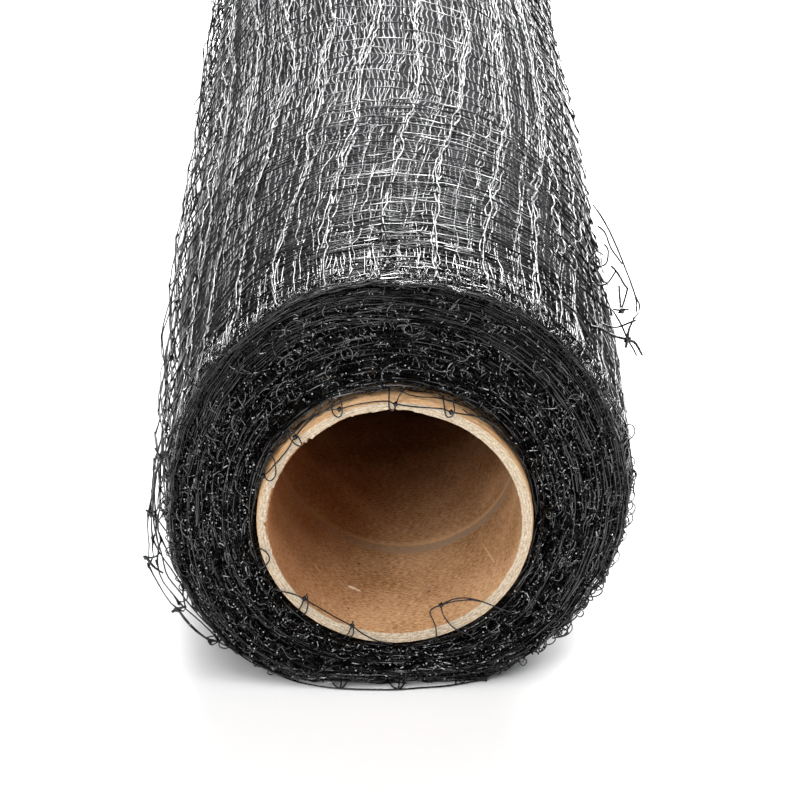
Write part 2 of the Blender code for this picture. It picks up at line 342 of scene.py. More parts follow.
# colours round the joint, each with its strength at places within a turn: the dull band and pale lip
SEAM_COLOURS = (
    ("#aa967e", ((0.13, 0.0), (0.17, 0.75), (0.27, 0.70), (0.29, 0.0))),
    ("#dcb58a", ((0.275, 0.0), (0.30, 0.75), (0.33, 0.55), (0.37, 0.0))),
)
FLECKS = (  # place round the bore and behind the rim, slant in degrees, size, colour
    (-13.2, 23.7, 3, (1.6, 0.8), "#f3e6cc"),
    (-11.2, 23.2, -8, (1.1, 0.5), "#f3e6cc"),
    (-26.0, 25.6, -32, (4.2, 0.30), "#d9b27c"),
    (33.2, 24.0, -76, (11.5, 0.32), "#dcb98c"),
    (-14.4, 10.4, 0, (0.45, 0.55), "#5a3a26"),
    (-11.1, 39.5, 0, (0.6, 0.9), "#6b4630"),
    (10.8, 22.2, 10, (0.9, 0.7), "#6b5442"),
    (6.0, 11.3, 0, (0.4, 0.5), "#80603f"),
)


def bore_marks(tree, skin, place, unrolled, angle, y):
    """What the bore's skin shows besides its fibres. Angles are 0 at the bottom, positive on the right."""
    # painted shade: the skin is painted darker and more red up the bore's left side, which the lamps light
    # least
    shade_up_left = add_node(
        tree, "MapRange", in_Value=angle, in_From_Min=SHADE_LEFT_FROM, in_From_Max=SHADE_LEFT_FULL, in_To_Max=0.5
    )
    skin = add_node(tree, "Mix", data_type="RGBA", in_Factor=shade_up_left, in_A=skin, in_B=linear("#a46138"))
    # how many turns of the ribbon, a little crooked, lie between here and its joint
    turns = add_node(tree, "Math", operation="DIVIDE", in_0=angle, in_1=math.tau)
    depth = add_node(tree, "Math", operation="SUBTRACT", in_0=y, in_1=rim_y + SEAM_DEPTH_BELOW)
    advance = add_node(tree, "Math", operation="DIVIDE", in_0=depth, in_1=SEAM_PITCH)
    total = add_node(tree, "Math", operation="ADD", in_0=advance, in_1=turns)
    wobble = add_node(tree, "TexNoise", in_Vector=place, in_Scale=1 / SEAM_WOBBLE, in_Detail=1.0)
    total = add_node(tree, "Math", operation="MULTIPLY_ADD", in_0=wobble, in_1=0.05, in_2=total)
    shifted = add_node(tree, "Math", operation="ADD", in_0=total, in_1=SEAM_SHIFT)
    phase = add_node(tree, "Math", operation="FRACT", in_0=shifted)
    # the joint's colours show only in the turn that crosses the bottom at that depth, fainter up the left
    # side than on the right
    off_turn = add_node(tree, "Math", operation="SUBTRACT", in_0=shifted, in_1=SEAM_SHOWN_TURN)
    off_turn = add_node(tree, "Math", operation="ABSOLUTE", in_0=off_turn)
    this_turn = add_node(tree, "MapRange", in_Value=off_turn, in_From_Min=0.5, in_From_Max=0.30)
    on_right = add_node(
        tree, "MapRange", in_Value=angle, in_From_Min=-0.75, in_From_Max=0.35, in_To_Min=0.32
    )
    seam_shown = add_node(tree, "Math", operation="MULTIPLY", in_0=this_turn, in_1=on_right)
    for hue, band in SEAM_COLOURS:
        stops = [(0, grey(0)), *((turn, grey(strength)) for turn, strength in band), (1, grey(0))]
        in_band = add_node(tree, "ValToRGB", in_Fac=phase, stops=stops)
        share = add_node(tree, "Math", operation="MULTIPLY", in_0=in_band, in_1=seam_shown)
        skin = add_node(tree, "Mix", data_type="RGBA", in_Factor=share, in_A=skin, in_B=linear(hue))
    # painted shade: further in, the skin is painted dark brown, as the shade deep in the bore
    darker = add_node(
        tree, "MapRange", in_Value=y, in_From_Min=rim_y + DEEP_SHADE_FROM, in_From_Max=rim_y + DEEP_SHADE_FULL,
        in_To_Max=0.6,
    )
    skin = add_node(tree, "Mix", data_type="RGBA", in_Factor=darker, in_A=skin, in_B=linear("#4a2c14"))
    # flecks with uneven edges
    crumple = add_node(tree, "TexNoise", in_Vector=place, in_Scale=1 / BORE_CRUMPLE, in_Detail=2.0)
    crumple = add_node(
        tree, "VectorMath", operation="MULTIPLY_ADD", in_0=crumple.outputs["Color"],
        in_1=(1.4 * MM, 1.4 * MM, 0), in_2=(-0.7 * MM, -0.7 * MM, 0),
    )
    uneven = add_node(tree, "VectorMath", operation="ADD", in_0=unrolled, in_1=crumple)
    for mark in FLECKS:
        skin = fleck(tree, uneven, skin, *mark)
    return skin


# Kraft paper, pressed from long brown fibres and left uncoated: matte, blotched and finely streaked,
# with a few dark specks of bark.
def kraft(name, paper, stain, bore):
    made, tree = new_material(name)
    place = add_node(tree, "TexCoord").outputs["Object"]
    axis = add_node(tree, "SeparateXYZ", in_Vector=place)
    across = add_node(tree, "Math", operation="SUBTRACT", in_0=axis.outputs["X"], in_1=core_centre.x)
    down = add_node(tree, "Math", operation="SUBTRACT", in_0=core_centre.z, in_1=axis.outputs["Z"])
    angle = add_node(tree, "Math", operation="ARCTAN2", in_0=across, in_1=down)
    arc = add_node(tree, "Math", operation="MULTIPLY", in_0=angle, in_1=BORE_RADIUS)
    unrolled = add_node(tree, "CombineXYZ", in_X=arc, in_Y=axis.outputs["Y"])
    blotch = add_node(
        tree, "TexNoise", in_Vector=place, in_Scale=1 / BLOTCH, in_Detail=4.0, in_Roughness=0.6
    )
    drawn = add_node(tree, "Mapping", in_Vector=unrolled, in_Scale=(0.28, 1, 1), in_Rotation=(0, 0, 0.10))
    fibre = add_node(
        tree, "TexNoise", in_Vector=drawn, in_Scale=1 / PAPER_FIBRE, in_Detail=3.0, in_Roughness=0.7
    )
    mixed = add_node(tree, "Mix", data_type="FLOAT", in_Factor=0.72, in_A=blotch, in_B=fibre)
    skin = add_node(tree, "ValToRGB", in_Fac=mixed, stops=[(0.40, linear(stain)), (0.59, linear(paper))])
    if bore:
        skin = bore_marks(tree, skin, place, unrolled, angle, axis.outputs["Y"])
    speck = add_node(tree, "TexVoronoi", in_Vector=place, in_Scale=1 / SPECK_SPACING)
    dark = add_node(
        tree, "MapRange", in_Value=speck, in_From_Min=0.05, in_From_Max=0.11, in_To_Min=0.75, in_To_Max=0.0
    )
    chance = add_node(tree, "SeparateColor", in_Color=speck.outputs["Color"])
    rare = add_node(tree, "MapRange", in_Value=chance, in_From_Min=0.80, in_From_Max=0.82)
    bark = add_node(tree, "Math", operation="MULTIPLY", in_0=dark, in_1=rare)
    skin = add_node(tree, "Mix", data_type="RGBA", in_Factor=bark, in_A=skin, in_B=linear("#5b3d27"))
    bump = add_node(tree, "Bump", in_Height=fibre, in_Strength=0.75, in_Distance=0.14 * MM)
    surface = add_node(
        tree, "BsdfPrincipled", in_Base_Color=skin, in_Roughness=0.92, in_Specular_IOR_Level=0.10,
        in_IOR=1.5, in_Normal=bump,
    )
    add_node(tree, "OutputMaterial", in_Surface=surface)
    return made


# Grey-brown board, sawn across and left raw: pale chalky pulp, with torn fibres lying round the
# tube, faint darker lines between its plies and a browner edge where the outer paper is.
def sawn_board():
    made, tree = new_material("sawn pulp board")
    place = add_node(tree, "TexCoord").outputs["Object"]
    axis = add_node(tree, "SeparateXYZ", in_Vector=place)
    across = add_node(tree, "Math", operation="SUBTRACT", in_0=axis.outputs["X"], in_1=core_centre.x)
    up = add_node(tree, "Math", operation="SUBTRACT", in_0=axis.outputs["Z"], in_1=core_centre.z)
    both = add_node(tree, "CombineXYZ", in_X=across, in_Y=up)
    radius = add_node(tree, "VectorMath", operation="LENGTH", in_0=both)
    angle = add_node(tree, "Math", operation="ARCTAN2", in_0=across, in_1=up)
    arc = add_node(tree, "Math", operation="MULTIPLY", in_0=angle, in_1=0.30 * CORE_RADIUS)
    lying = add_node(tree, "CombineXYZ", in_X=arc, in_Y=radius)
    fibre = add_node(
        tree, "TexNoise", in_Vector=lying, in_Scale=1 / BOARD_FIBRE, in_Detail=4.0, in_Roughness=0.75
    )
    pulp = add_node(
        tree, "TexNoise", in_Vector=place, in_Scale=1 / PULP_GRAIN, in_Detail=3.0, in_Roughness=0.8
    )
    warp = add_node(tree, "TexNoise", in_Vector=place, in_Scale=1 / BOARD_WARP, in_Detail=3.0)
    warped = add_node(tree, "Math", operation="MULTIPLY_ADD", in_0=warp, in_1=1.1 * MM, in_2=radius)
    wave = add_node(tree, "Math", operation="MULTIPLY", in_0=warped, in_1=math.tau / BOARD_LAYER)
    layers = add_node(tree, "Math", operation="SINE", in_0=wave)
    layer_share = add_node(
        tree, "MapRange", in_Value=layers, in_From_Min=-1.0, in_From_Max=-0.4, in_To_Min=0.40, in_To_Max=0.52
    )
    rough_parts = add_node(tree, "Mix", data_type="FLOAT", in_Factor=0.45, in_A=fibre, in_B=pulp)
    mixed = add_node(tree, "Mix", data_type="FLOAT", in_Factor=0.72, in_A=layer_share, in_B=rough_parts)
    face = add_node(
        tree, "ValToRGB", in_Fac=mixed,
        stops=[(0.36, linear("#6f5943")), (0.48, linear("#af9d85")), (0.62, linear("#e2d7c5"))],
    )
    outermost = add_node(
        tree, "MapRange", in_Value=radius, in_From_Min=CORE_RADIUS - 0.62 * MM,
        in_From_Max=CORE_RADIUS - 0.30 * MM, in_To_Max=0.7,
    )
    face = add_node(tree, "Mix", data_type="RGBA", in_Factor=outermost, in_A=face, in_B=linear("#b98d5f"))
    bump = add_node(tree, "Bump", in_Height=rough_parts, in_Strength=0.8, in_Distance=0.25 * MM)
    surface = add_node(
        tree, "BsdfPrincipled", in_Base_Color=face, in_Roughness=0.92, in_Specular_IOR_Level=0.2,
        in_IOR=1.5, in_Normal=bump,
    )
    add_node(tree, "OutputMaterial", in_Surface=surface)
    return made


outside_skin = kraft("kraft skin outside", "#d8b288", "#a87c50", bore=False)
bore_skin = kraft("kraft skin of the bore", "#d6ae84", "#8a5f38", bore=True)
core = show("core_board", core_mesh, [outside_skin, sawn_board(), bore_skin])
face_finish = np.repeat(ring_finish, CORE_COLUMNS).astype(np.int32)
core_mesh.polygons.foreach_set("material_index", face_finish)
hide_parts("core_tube")


# ---------------------------------------------------------------- the wound net underneath
# Some forty turns of folded black polypropylene net lie so close that, below the outermost plies,
# they read as one dark springy mass. It keeps the roll's own form, drawn in to make room for the
# plies on top.

NET = "net_roll"
net_low, net_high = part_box(NET)
net_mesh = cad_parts[NET].data
net_faces = [list(polygon.vertices) for polygon in net_mesh.polygons]
net_tree = BVHTree.FromPolygons([vertex.co for vertex in net_mesh.vertices], net_faces)
WIND_RADIUS = 69.0 * MM
WOUND_DEPTH = WIND_RADIUS - CORE_RADIUS
CORE_SUNK = 8.8 * MM  # the core has sunk this far through the net
wind_x, wind_z = core_centre.x, core_centre.z + CORE_SUNK
front_y, end_y = net_low.y + 2.9 * MM, net_high.y - 3.0 * MM
NET_LENGTH = end_y - front_y
NET_PITCH = 16.2 * MM
MESHES_ROUND = 27
LEAN = 16 * MM  # how far round the roll the ridges wander, and between which distances along it
LEAN_FROM, LEAN_FULL = 20 * MM, 215 * MM
FLOOR_CLEAR = 0.50 * MM
FOLD_WAVES = [(7, 0.7), (16, 0.6), (31, 0.7), (58, 0.6)]  # of the ends' edges, in mm
SHOULDER_FALL = 0.009 / MM  # how fast the shoulders curve down
UNDER = 2.6 * MM  # the mass lies this far below the roll's surface
END_UNDER = 4.6 * MM  # and this far inside its two ends

# The solid's radius is measured into one table, and its two end faces into others.
TABLE_COLUMNS = 288
END_COLUMNS, END_RINGS = 144, 14
OUTSIDE, BEYOND_END = 120 * MM, 500 * MM  # from where the solid is measured, clear of it
RADIUS_PAST_END = 45 * MM
edge_stations = np.array([-2.2, -1.4, -0.8, 0, 0.6, 1.2, 2, 3, 4, 5, 6, 7, 8, 10, 13, 17]) * MM
middle_stations = np.linspace(22 * MM, NET_LENGTH - 22 * MM, 70)
along_stations = np.array([-3 * MM, *edge_stations, *middle_stations, *(NET_LENGTH - edge_stations[::-1])])
MIDDLE = len(along_stations) // 2


def measured_radius(angle, along):
    """How far the wound net reaches from its middle in this direction, this far along."""
    out = Vector((math.cos(angle), 0, math.sin(angle)))
    start = Vector((wind_x, front_y + along, wind_z)) + OUTSIDE * out
    hit = net_tree.ray_cast(start, -out, OUTSIDE)[0]
    return RADIUS_PAST_END if hit is None else Vector((hit.x - wind_x, 0, hit.z - wind_z)).length


table_angles = np.linspace(0, math.tau, TABLE_COLUMNS, endpoint=False)
radius_table = np.array([[measured_radius(a, s) for s in along_stations] for a in table_angles])
is_roll = radius_table > 0.985 * radius_table[:, MIDDLE, None]
near_edge = along_stations[is_roll.argmax(axis=1)]  # where the rounded shoulders begin, at each end
far_edge = along_stations[len(along_stations) - 1 - is_roll[:, ::-1].argmax(axis=1)]


def measured_end(angle, share, toward):
    """A point of a wound end's face, at a share of the way from the core out to the shoulder."""
    out = Vector((math.cos(angle), 0, math.sin(angle)))
    rim = 0.965 * float(radius_table[int(angle / math.tau * TABLE_COLUMNS), MIDDLE])
    inner = Vector((core_centre.x, 0, core_centre.z)) + (CORE_RADIUS + 0.6 * MM) * out
    outer = Vector((wind_x, 0, wind_z)) + rim * out
    outer.z = max(outer.z, 0.6 * MM)
    spot = inner.lerp(outer, share)
    probe = inner.lerp(outer, 0.91 * share + 0.02)  # the ends' folds stand a little squarer than the solid
    probe.y = -BEYOND_END * toward
    hit = net_tree.ray_cast(probe, Vector((0, toward, 0)), 0.8 * BEYOND_END)[0]
    face_y = front_y if toward > 0 else end_y
    return (spot.x, hit.y if hit else face_y, spot.z)


end_angles = np.linspace(0, math.tau, END_COLUMNS, endpoint=False)
end_shares = np.linspace(0, 1, END_RINGS)
end_tables = {
    toward: np.array([[measured_end(a, s, toward) for s in end_shares] for a in end_angles])
    for toward in (1, -1)
}


def read_table(table, angle, row):
    """A table's value between its cells. Its columns go once round the roll."""
    columns, rows = table.shape[:2]
    column = (angle % math.tau) / math.tau * columns
    c0 = np.floor(column).astype(int)
    r0 = np.minimum(np.floor(row).astype(int), rows - 2)
    cf, rf = column - c0, row - r0
    if table.ndim > 2:
        cf, rf = cf[..., None], rf[..., None]
    c0, c1 = c0 % columns, (c0 + 1) % columns
    low = table[c0, r0] * (1 - rf) + table[c0, r0 + 1] * rf
    high = table[c1, r0] * (1 - rf) + table[c1, r0 + 1] * rf
    return low * (1 - cf) + high * cf


def within_shoulders(angle, along):
    """Distances along the roll, held back to where its two shoulders are."""
    near = np.interp(angle, table_angles, near_edge, period=math.tau)
    far = np.interp(angle, table_angles, far_edge, period=math.tau)
    return np.clip(along, near, far)


def roll_radius(angle, along):
    """The roll's radius, for arrays of directions and distances along it."""
    return read_table(radius_table, angle, np.interp(along, along_stations, np.arange(len(along_stations))))


def on_roll(angle, along, lift):
    """Points on the roll. Past its ends they turn back in, as the folded strands do."""
    fold = ragged(angle, FOLD_WAVES, seed=8) * MM
    depth_in = np.maximum(fold - along, 0) + np.maximum(along - NET_LENGTH - fold, 0)
    along = fold + np.abs(along - fold)
    along = NET_LENGTH + fold - np.abs(NET_LENGTH + fold - along)
    lift = lift - 0.4 * depth_in
    held = within_shoulders(angle, along)
    over = np.clip(np.abs(along - held), 0, 10 * MM)
    radius = roll_radius(angle, held) + lift - SHOULDER_FALL * over**2
    z = np.maximum(wind_z + radius * np.sin(angle), FLOOR_CLEAR)
    return np.stack([wind_x + radius * np.cos(angle), front_y + along, z], axis=-1)


def on_end(angle, share, lift, toward):
    """Points on a wound end: toward is 1 for the near end and -1 for the far one."""
    point = read_table(end_tables[toward], angle, np.clip(share, 0, 1) * (END_RINGS - 1))
    point[..., 1] -= toward * lift
    point[..., 2] = np.maximum(point[..., 2], FLOOR_CLEAR)
    return point


def smooth_step(x, start, full):
    """0 up to start and 1 from full on, with no corners between."""
    t = np.clip((x - start) / (full - start), 0, 1)
    return t * t * (3 - 2 * t)


BODY_COLUMNS = 144
body_angles = np.linspace(0, math.tau, BODY_COLUMNS, endpoint=False)
body_shares = np.array([0.0, 0.12, 0.26, 0.4, 0.55, 0.7, 0.85, 1.0])
body_edges = np.array([5.5, 7.5, 10.5, 16]) * MM
body_middle = np.linspace(30 * MM, NET_LENGTH - 30 * MM, 32)
near_face = [on_end(body_angles, np.full(BODY_COLUMNS, share), -END_UNDER, 1) for share in body_shares]
far_face = [on_end(body_angles, np.full(BODY_COLUMNS, share), -END_UNDER, -1) for share in body_shares[::-1]]
body_side = []
for along in [*body_edges, *body_middle, *(NET_LENGTH - body_edges[::-1])]:
    from_end = min(along, NET_LENGTH - along)
    drawn_in = UNDER + 2.4 * MM * (1 - smooth_step(from_end, 4 * MM, 28 * MM))
    body_side.append(on_roll(body_angles, np.full(BODY_COLUMNS, along), -drawn_in))
under_mesh = lofted_mesh("wound net underneath", np.array([*near_face, *body_side, *far_face]))


# Sizes in the net. Real scratches are far finer than these, which are as fine as can show.
STREAK = MM / 0.32  # how far along a strand its drawn surface keeps one look
SCRATCH = MM / 2.6
PACKED_WARP = MM / 0.06  # over which packed strands wander
PACKED_SPACING = 2.1 * MM  # of packed strands round the roll, where several plies lie together


# Black polypropylene, stamped and stretched until its strands are thin: nearly black, with the soft
# shine of drawn plastic, more or less polished from place to place.
def stretched_polypropylene(name, colour, roughness, flecks, shine):
    made, tree = new_material(name)
    place = add_node(tree, "TexCoord").outputs["Object"]
    drawn = add_node(tree, "TexNoise", in_Vector=place, in_Scale=1 / STREAK, in_Detail=2.0)
    rough = add_node(
        tree, "MapRange", in_Value=drawn, in_From_Min=0.3, in_From_Max=0.7,
        in_To_Min=roughness[0], in_To_Max=roughness[1],
    )
    black = add_node(tree, "ValToRGB", in_Fac=drawn, stops=[(0.35, linear(colour)), (0.70, linear(flecks))])
    fine = add_node(tree, "TexNoise", in_Vector=place, in_Scale=1 / SCRATCH, in_Detail=1.0)
    bump = add_node(tree, "Bump", in_Height=fine, in_Strength=0.15, in_Distance=0.05 * MM)
    surface = add_node(
        tree, "BsdfPrincipled", in_Base_Color=black, in_Roughness=rough, in_IOR=1.50,
        in_Specular_IOR_Level=shine, in_Normal=bump,
    )
    add_node(tree, "OutputMaterial", in_Surface=surface)
    return made


# The same black polypropylene packed ply on ply, as it shows in the gaps of the outer plies: matte black,
# crossed both ways by strands painted faint grey, a painted sheen of the deep strands.
def packed_net():
    made, tree = new_material("black stretched polypropylene, packed, painted sheen")
    place = add_node(tree, "TexCoord").outputs["Object"]
    axis = add_node(tree, "SeparateXYZ", in_Vector=place)
    across = add_node(tree, "Math", operation="SUBTRACT", in_0=axis.outputs["X"], in_1=wind_x)
    up = add_node(tree, "Math", operation="SUBTRACT", in_0=axis.outputs["Z"], in_1=wind_z)
    angle = add_node(tree, "Math", operation="ARCTAN2", in_0=up, in_1=across)
    warp = add_node(tree, "TexNoise", in_Vector=place, in_Scale=1 / PACKED_WARP, in_Detail=2.0)
    # eight strands to each mesh round the roll
    crooked = add_node(tree, "Math", operation="MULTIPLY_ADD", in_0=warp, in_1=0.10, in_2=angle)
    wave = add_node(tree, "Math", operation="MULTIPLY", in_0=crooked, in_1=8.0 * MESHES_ROUND)
    lengthwise = add_node(tree, "Math", operation="SINE", in_0=wave)
    crooked_y = add_node(
        tree, "Math", operation="MULTIPLY_ADD", in_0=warp, in_1=6 * MM, in_2=axis.outputs["Y"]
    )
    wave = add_node(tree, "Math", operation="MULTIPLY", in_0=crooked_y, in_1=math.tau / PACKED_SPACING)
    crosswise = add_node(tree, "Math", operation="SINE", in_0=wave)
    # further back the strands along the roll hide those round it, and the painted sheen is painted brightest
    # along the ridges, as painted highlight
    behind = add_node(
        tree, "MapRange", in_Value=axis.outputs["Y"], in_From_Min=front_y + 60 * MM,
        in_From_Max=front_y + 190 * MM, in_To_Max=0.45,
    )
    crosswise = add_node(tree, "Math", operation="SUBTRACT", in_0=crosswise, in_1=behind)
    top = add_node(tree, "Math", operation="MAXIMUM", in_0=lengthwise, in_1=crosswise)
    strand = add_node(tree, "MapRange", in_Value=top, in_From_Min=0.55, in_From_Max=0.96)
    leaning = add_node(
        tree, "MapRange", interpolation_type="SMOOTHSTEP", in_Value=axis.outputs["Y"],
        in_From_Min=front_y + LEAN_FROM, in_From_Max=front_y + LEAN_FULL, in_To_Max=LEAN / WIND_RADIUS,
    )
    ridge = add_node(tree, "Math", operation="ADD", in_0=crooked, in_1=leaning)
    ridge = add_node(tree, "Math", operation="MULTIPLY", in_0=ridge, in_1=MESHES_ROUND)
    ridge = add_node(tree, "Math", operation="COSINE", in_0=ridge)
    ridge = add_node(
        tree, "MapRange", in_Value=ridge, in_From_Min=-0.8, in_From_Max=0.9, in_To_Min=0.30, in_To_Max=1.0
    )
    # painted shade: the sheen is painted dimmer towards the two loose ends
    from_middle = add_node(
        tree, "Math", operation="SUBTRACT", in_0=axis.outputs["Y"], in_1=(front_y + end_y) / 2
    )
    from_middle = add_node(tree, "Math", operation="ABSOLUTE", in_0=from_middle)
    painted_end_shade = add_node(
        tree, "MapRange", in_Value=from_middle, in_From_Min=NET_LENGTH / 2 - 12 * MM,
        in_From_Max=NET_LENGTH / 2 - 190 * MM, in_To_Min=0.12,
    )
    painted_sheen = add_node(tree, "Math", operation="MULTIPLY", in_0=strand, in_1=painted_end_shade)
    painted_sheen = add_node(tree, "Math", operation="MULTIPLY", in_0=painted_sheen, in_1=ridge)
    # painted sheen: the strand lines are painted grey on the black, where the real black strands would only
    # shine
    black = add_node(
        tree, "Mix", data_type="RGBA", in_Factor=painted_sheen, in_A=linear("#060607"), in_B=linear("#8c8c90")
    )
    rough = add_node(tree, "MapRange", in_Value=strand, in_To_Min=0.9, in_To_Max=0.6)
    bump = add_node(tree, "Bump", in_Height=strand, in_Strength=0.9, in_Distance=0.4 * MM)
    surface = add_node(
        tree, "BsdfPrincipled", in_Base_Color=black, in_Roughness=rough, in_IOR=1.5,
        in_Specular_IOR_Level=0.10, in_Normal=bump,
    )
    add_node(tree, "OutputMaterial", in_Surface=surface)
    return made


under = show("wound_net_underneath", under_mesh, [packed_net()])
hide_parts(NET)


# ---------------------------------------------------------------- the outermost plies
# Fourteen plies of open polypropylene mesh over the mass, each a grid of strands joined by the knots
# it was stamped with. The strands round the roll are wound tight; those along it are slack, and
# bunch in ridges.

MESHES_ALONG = 37
POINTS_ROUND = 3  # of a strand, from knot to knot
STRAND_RADIUS = 0.18 * MM
KNOT_RADIUS = 0.36 * MM
# how far a strand bulges and snakes between its knots: round the roll, along it, and in height
SLACK = ((0.55 * MM / WIND_RADIUS, 0.30 * MM / WIND_RADIUS), (0.2 * MM, 0.2 * MM), (0.30 * MM, 0.12 * MM))
TIGHT = ((0.15 * MM / WIND_RADIUS, 0.1 * MM / WIND_RADIUS), (0.55 * MM, 0.3 * MM), (0.15 * MM, 0.05 * MM))
PLY_GROUPS = ((0, 1, 2), (3, 4, 5), (6, 7, 8, 9), (10, 11, 12, 13))
PLY_STEP = 0.10 * MM  # each lies this much deeper than the one before
BUNCHED = (0, 2, 4, 6, 9)
OUTER_PLIES = 6
WHOLE_PLIES = (1, 4)  # the others have strands round the roll only as far as this from its ends
OUTER_CROSSED, INNER_CROSSED = 150 * MM, 52 * MM
EDGE_ROWS = 13 * MM  # strands round the roll nearer its ends than this belong to the folded edges


def lean(along):
    """How far round the roll the ridges have wandered at this distance along it."""
    there = smooth_step(along, LEAN_FROM, LEAN_FULL)
    back = smooth_step(along, LEAN_FULL, NET_LENGTH - LEAN_FROM)
    return -LEAN / WIND_RADIUS * (there - back)


def unit(vectors):
    """Vectors at a length of 1."""
    return vectors / np.maximum(np.linalg.norm(vectors, axis=-1, keepdims=True), 1e-9)


twist_rng = np.random.default_rng(11)


def tubes(lines, radius, sides=3, twist=0.35):
    """Points and faces of thin closed tubes along lines, lines by points by 3, which twist as they go."""
    count, steps, _ = lines.shape
    radius = np.broadcast_to(np.asarray(radius, float), (count, steps))
    ahead = np.empty_like(lines)
    ahead[:, 1:-1] = lines[:, 2:] - lines[:, :-2]
    ahead[:, 0] = lines[:, 1] - lines[:, 0]
    ahead[:, -1] = lines[:, -1] - lines[:, -2]
    ahead = unit(ahead)
    side = np.empty_like(lines)
    current = np.where(np.abs(ahead[:, 0, 2:3]) < 0.8, [[0.0, 0, 1]], [[1.0, 0, 0]])
    for k in range(steps):
        current = unit(current - (current * ahead[:, k]).sum(-1, keepdims=True) * ahead[:, k])
        side[:, k] = current
    other = np.cross(ahead, side)
    start = twist_rng.uniform(0, math.tau, (count, 1))
    twisted = start + np.cumsum(twist_rng.normal(0, twist, (count, steps)), axis=1)
    turn = (twisted[:, :, None] + np.arange(sides) * math.tau / sides)[..., None]
    ring = side[:, :, None] * np.cos(turn) + other[:, :, None] * np.sin(turn)
    points = lines[:, :, None] + ring * radius[:, :, None, None]
    index = np.arange(count * steps * sides).reshape(count, steps, sides)
    nearby = np.roll(index, -1, axis=2)
    quads = np.stack([index[:, :-1], nearby[:, :-1], nearby[:, 1:], index[:, 1:]], axis=-1).reshape(-1, 4)
    walls = [quads[:, [0, 1, 2]], quads[:, [0, 2, 3]]]
    fan = np.array([(0, k, k + 1) for k in range(1, sides - 1)])
    caps = [index[:, 0][:, fan[:, ::-1]].reshape(-1, 3), index[:, -1][:, fan].reshape(-1, 3)]
    return points.reshape(-1, 3), np.concatenate([*walls, *caps])


def join(parts):
    """Several (points, faces) as one."""
    offset, all_points, all_faces = 0, [], []
    for points, faces in parts:
        all_points.append(points)
        all_faces.append(faces + offset)
        offset += len(points)
    return np.concatenate(all_points), np.concatenate(all_faces)


def swelling(steps, per_mesh, thin, thick, phase=0):
    """Strand radii that swell towards each knot."""
    away = np.abs(((np.arange(steps) + phase) / per_mesh + 0.5) % 1.0 - 0.5) * 2
    return thin + (thick - thin) * np.clip(1 - away * 1.8, 0, 1) ** 2


KNOT_SHAPE = np.array([(1, 0, 0.5), (0, 1, 0.7), (-1, 0, 0.5), (0, -1, 0.7), (0, 0, -1)], float)
KNOT_FACES = np.array([(0, 1, 3), (1, 2, 3), (1, 0, 4), (2, 1, 4), (3, 2, 4), (0, 3, 4)])


def knots(centres, out, size):
    """Flat little diamonds where strands cross: centres and outward directions by 3, (long, wide, high)."""
    out = unit(out)
    along_axis = np.tile([0.0, 1.0, 0.0], (len(out), 1))
    along_axis = unit(along_axis - (along_axis * out).sum(-1, keepdims=True) * out)
    axes = (along_axis, np.cross(along_axis, out), out)
    shape = KNOT_SHAPE * np.asarray(size)
    points = centres[:, None] + sum(shape[:, k, None] * axes[k][:, None] for k in range(3))
    index = np.arange(len(centres))[:, None, None] * len(KNOT_SHAPE)
    return points.reshape(-1, 3), (KNOT_FACES[None] + index).reshape(-1, 3)


def outward(angle):
    """The directions straight off the roll."""
    return np.stack([np.cos(angle), np.zeros_like(angle), np.sin(angle)], axis=-1)


def wander(rng, count, steps, size, smooth=2):
    """Noise along each of several lines: size is its spread, smooth how many points share a bend."""
    coarse = rng.normal(0, 1, (count, steps // smooth + 3))
    at = np.arange(steps) / smooth
    low = np.floor(at).astype(int)
    part = at - low
    part = part * part * (3 - 2 * part)
    return size * (coarse[:, low] * (1 - part) + coarse[:, low + 1] * part)


edge_rows = []  # the rows of strands over the shoulders, kept for the folded edges
ridge_path = wander(np.random.default_rng(5), MESHES_ROUND + 1, MESHES_ALONG + 2, 0.09, 2).T


def knot_grid(rng, depth, bunched, spread, row_shift):
    """A ply's knots: their directions round the roll, distances along it and heights, rows by columns."""
    step = math.tau / MESHES_ROUND
    phase = 0.0 if bunched else spread
    drift = 0.0 if bunched else rng.normal(0, 0.15)
    rows = MESHES_ALONG + 2
    i, j = np.meshgrid(np.arange(rows), np.arange(MESHES_ROUND + 1), indexing="ij")
    along = (i - 0.5 + row_shift) * NET_PITCH + rng.normal(0, 0.9 * MM, i.shape)
    along += 1.6 * MM * np.sin(j * step * 2 + rng.uniform(0, 6))
    stays = rng.normal(0, 0.05 if bunched else 0.07, MESHES_ROUND + 1)[None]
    strays = ridge_path if bunched else wander(rng, MESHES_ROUND + 1, rows, 0.06, 5).T
    strays = strays + rng.normal(0, 0.03, i.shape)
    angle = (j + phase + drift * i / rows + stays + strays) * step + lean(along)
    lift = -depth + (0.25 * MM if bunched else 0) + rng.normal(0, 0.25 * MM, i.shape)
    along[:, -1] = along[:, 0]
    lift[:, -1] = lift[:, 0]
    angle[:, -1] = angle[:, 0] + math.tau
    return angle, along, lift


def between(rng, values, axis, bulge, snake, points):
    """Values at points along the strands, from those at the knots, each stretch bulging and snaking."""
    share = np.arange(points) / points
    first = np.take(values, range(values.shape[axis] - 1), axis)[..., None]
    second = np.take(values, range(1, values.shape[axis]), axis)[..., None]
    shape = first.shape[:-1]
    line = first * (1 - share) + second * share
    line = line + rng.normal(0, bulge, shape)[..., None] * np.sin(math.pi * share)
    return line + rng.normal(0, snake, shape)[..., None] * np.sin(math.tau * share)


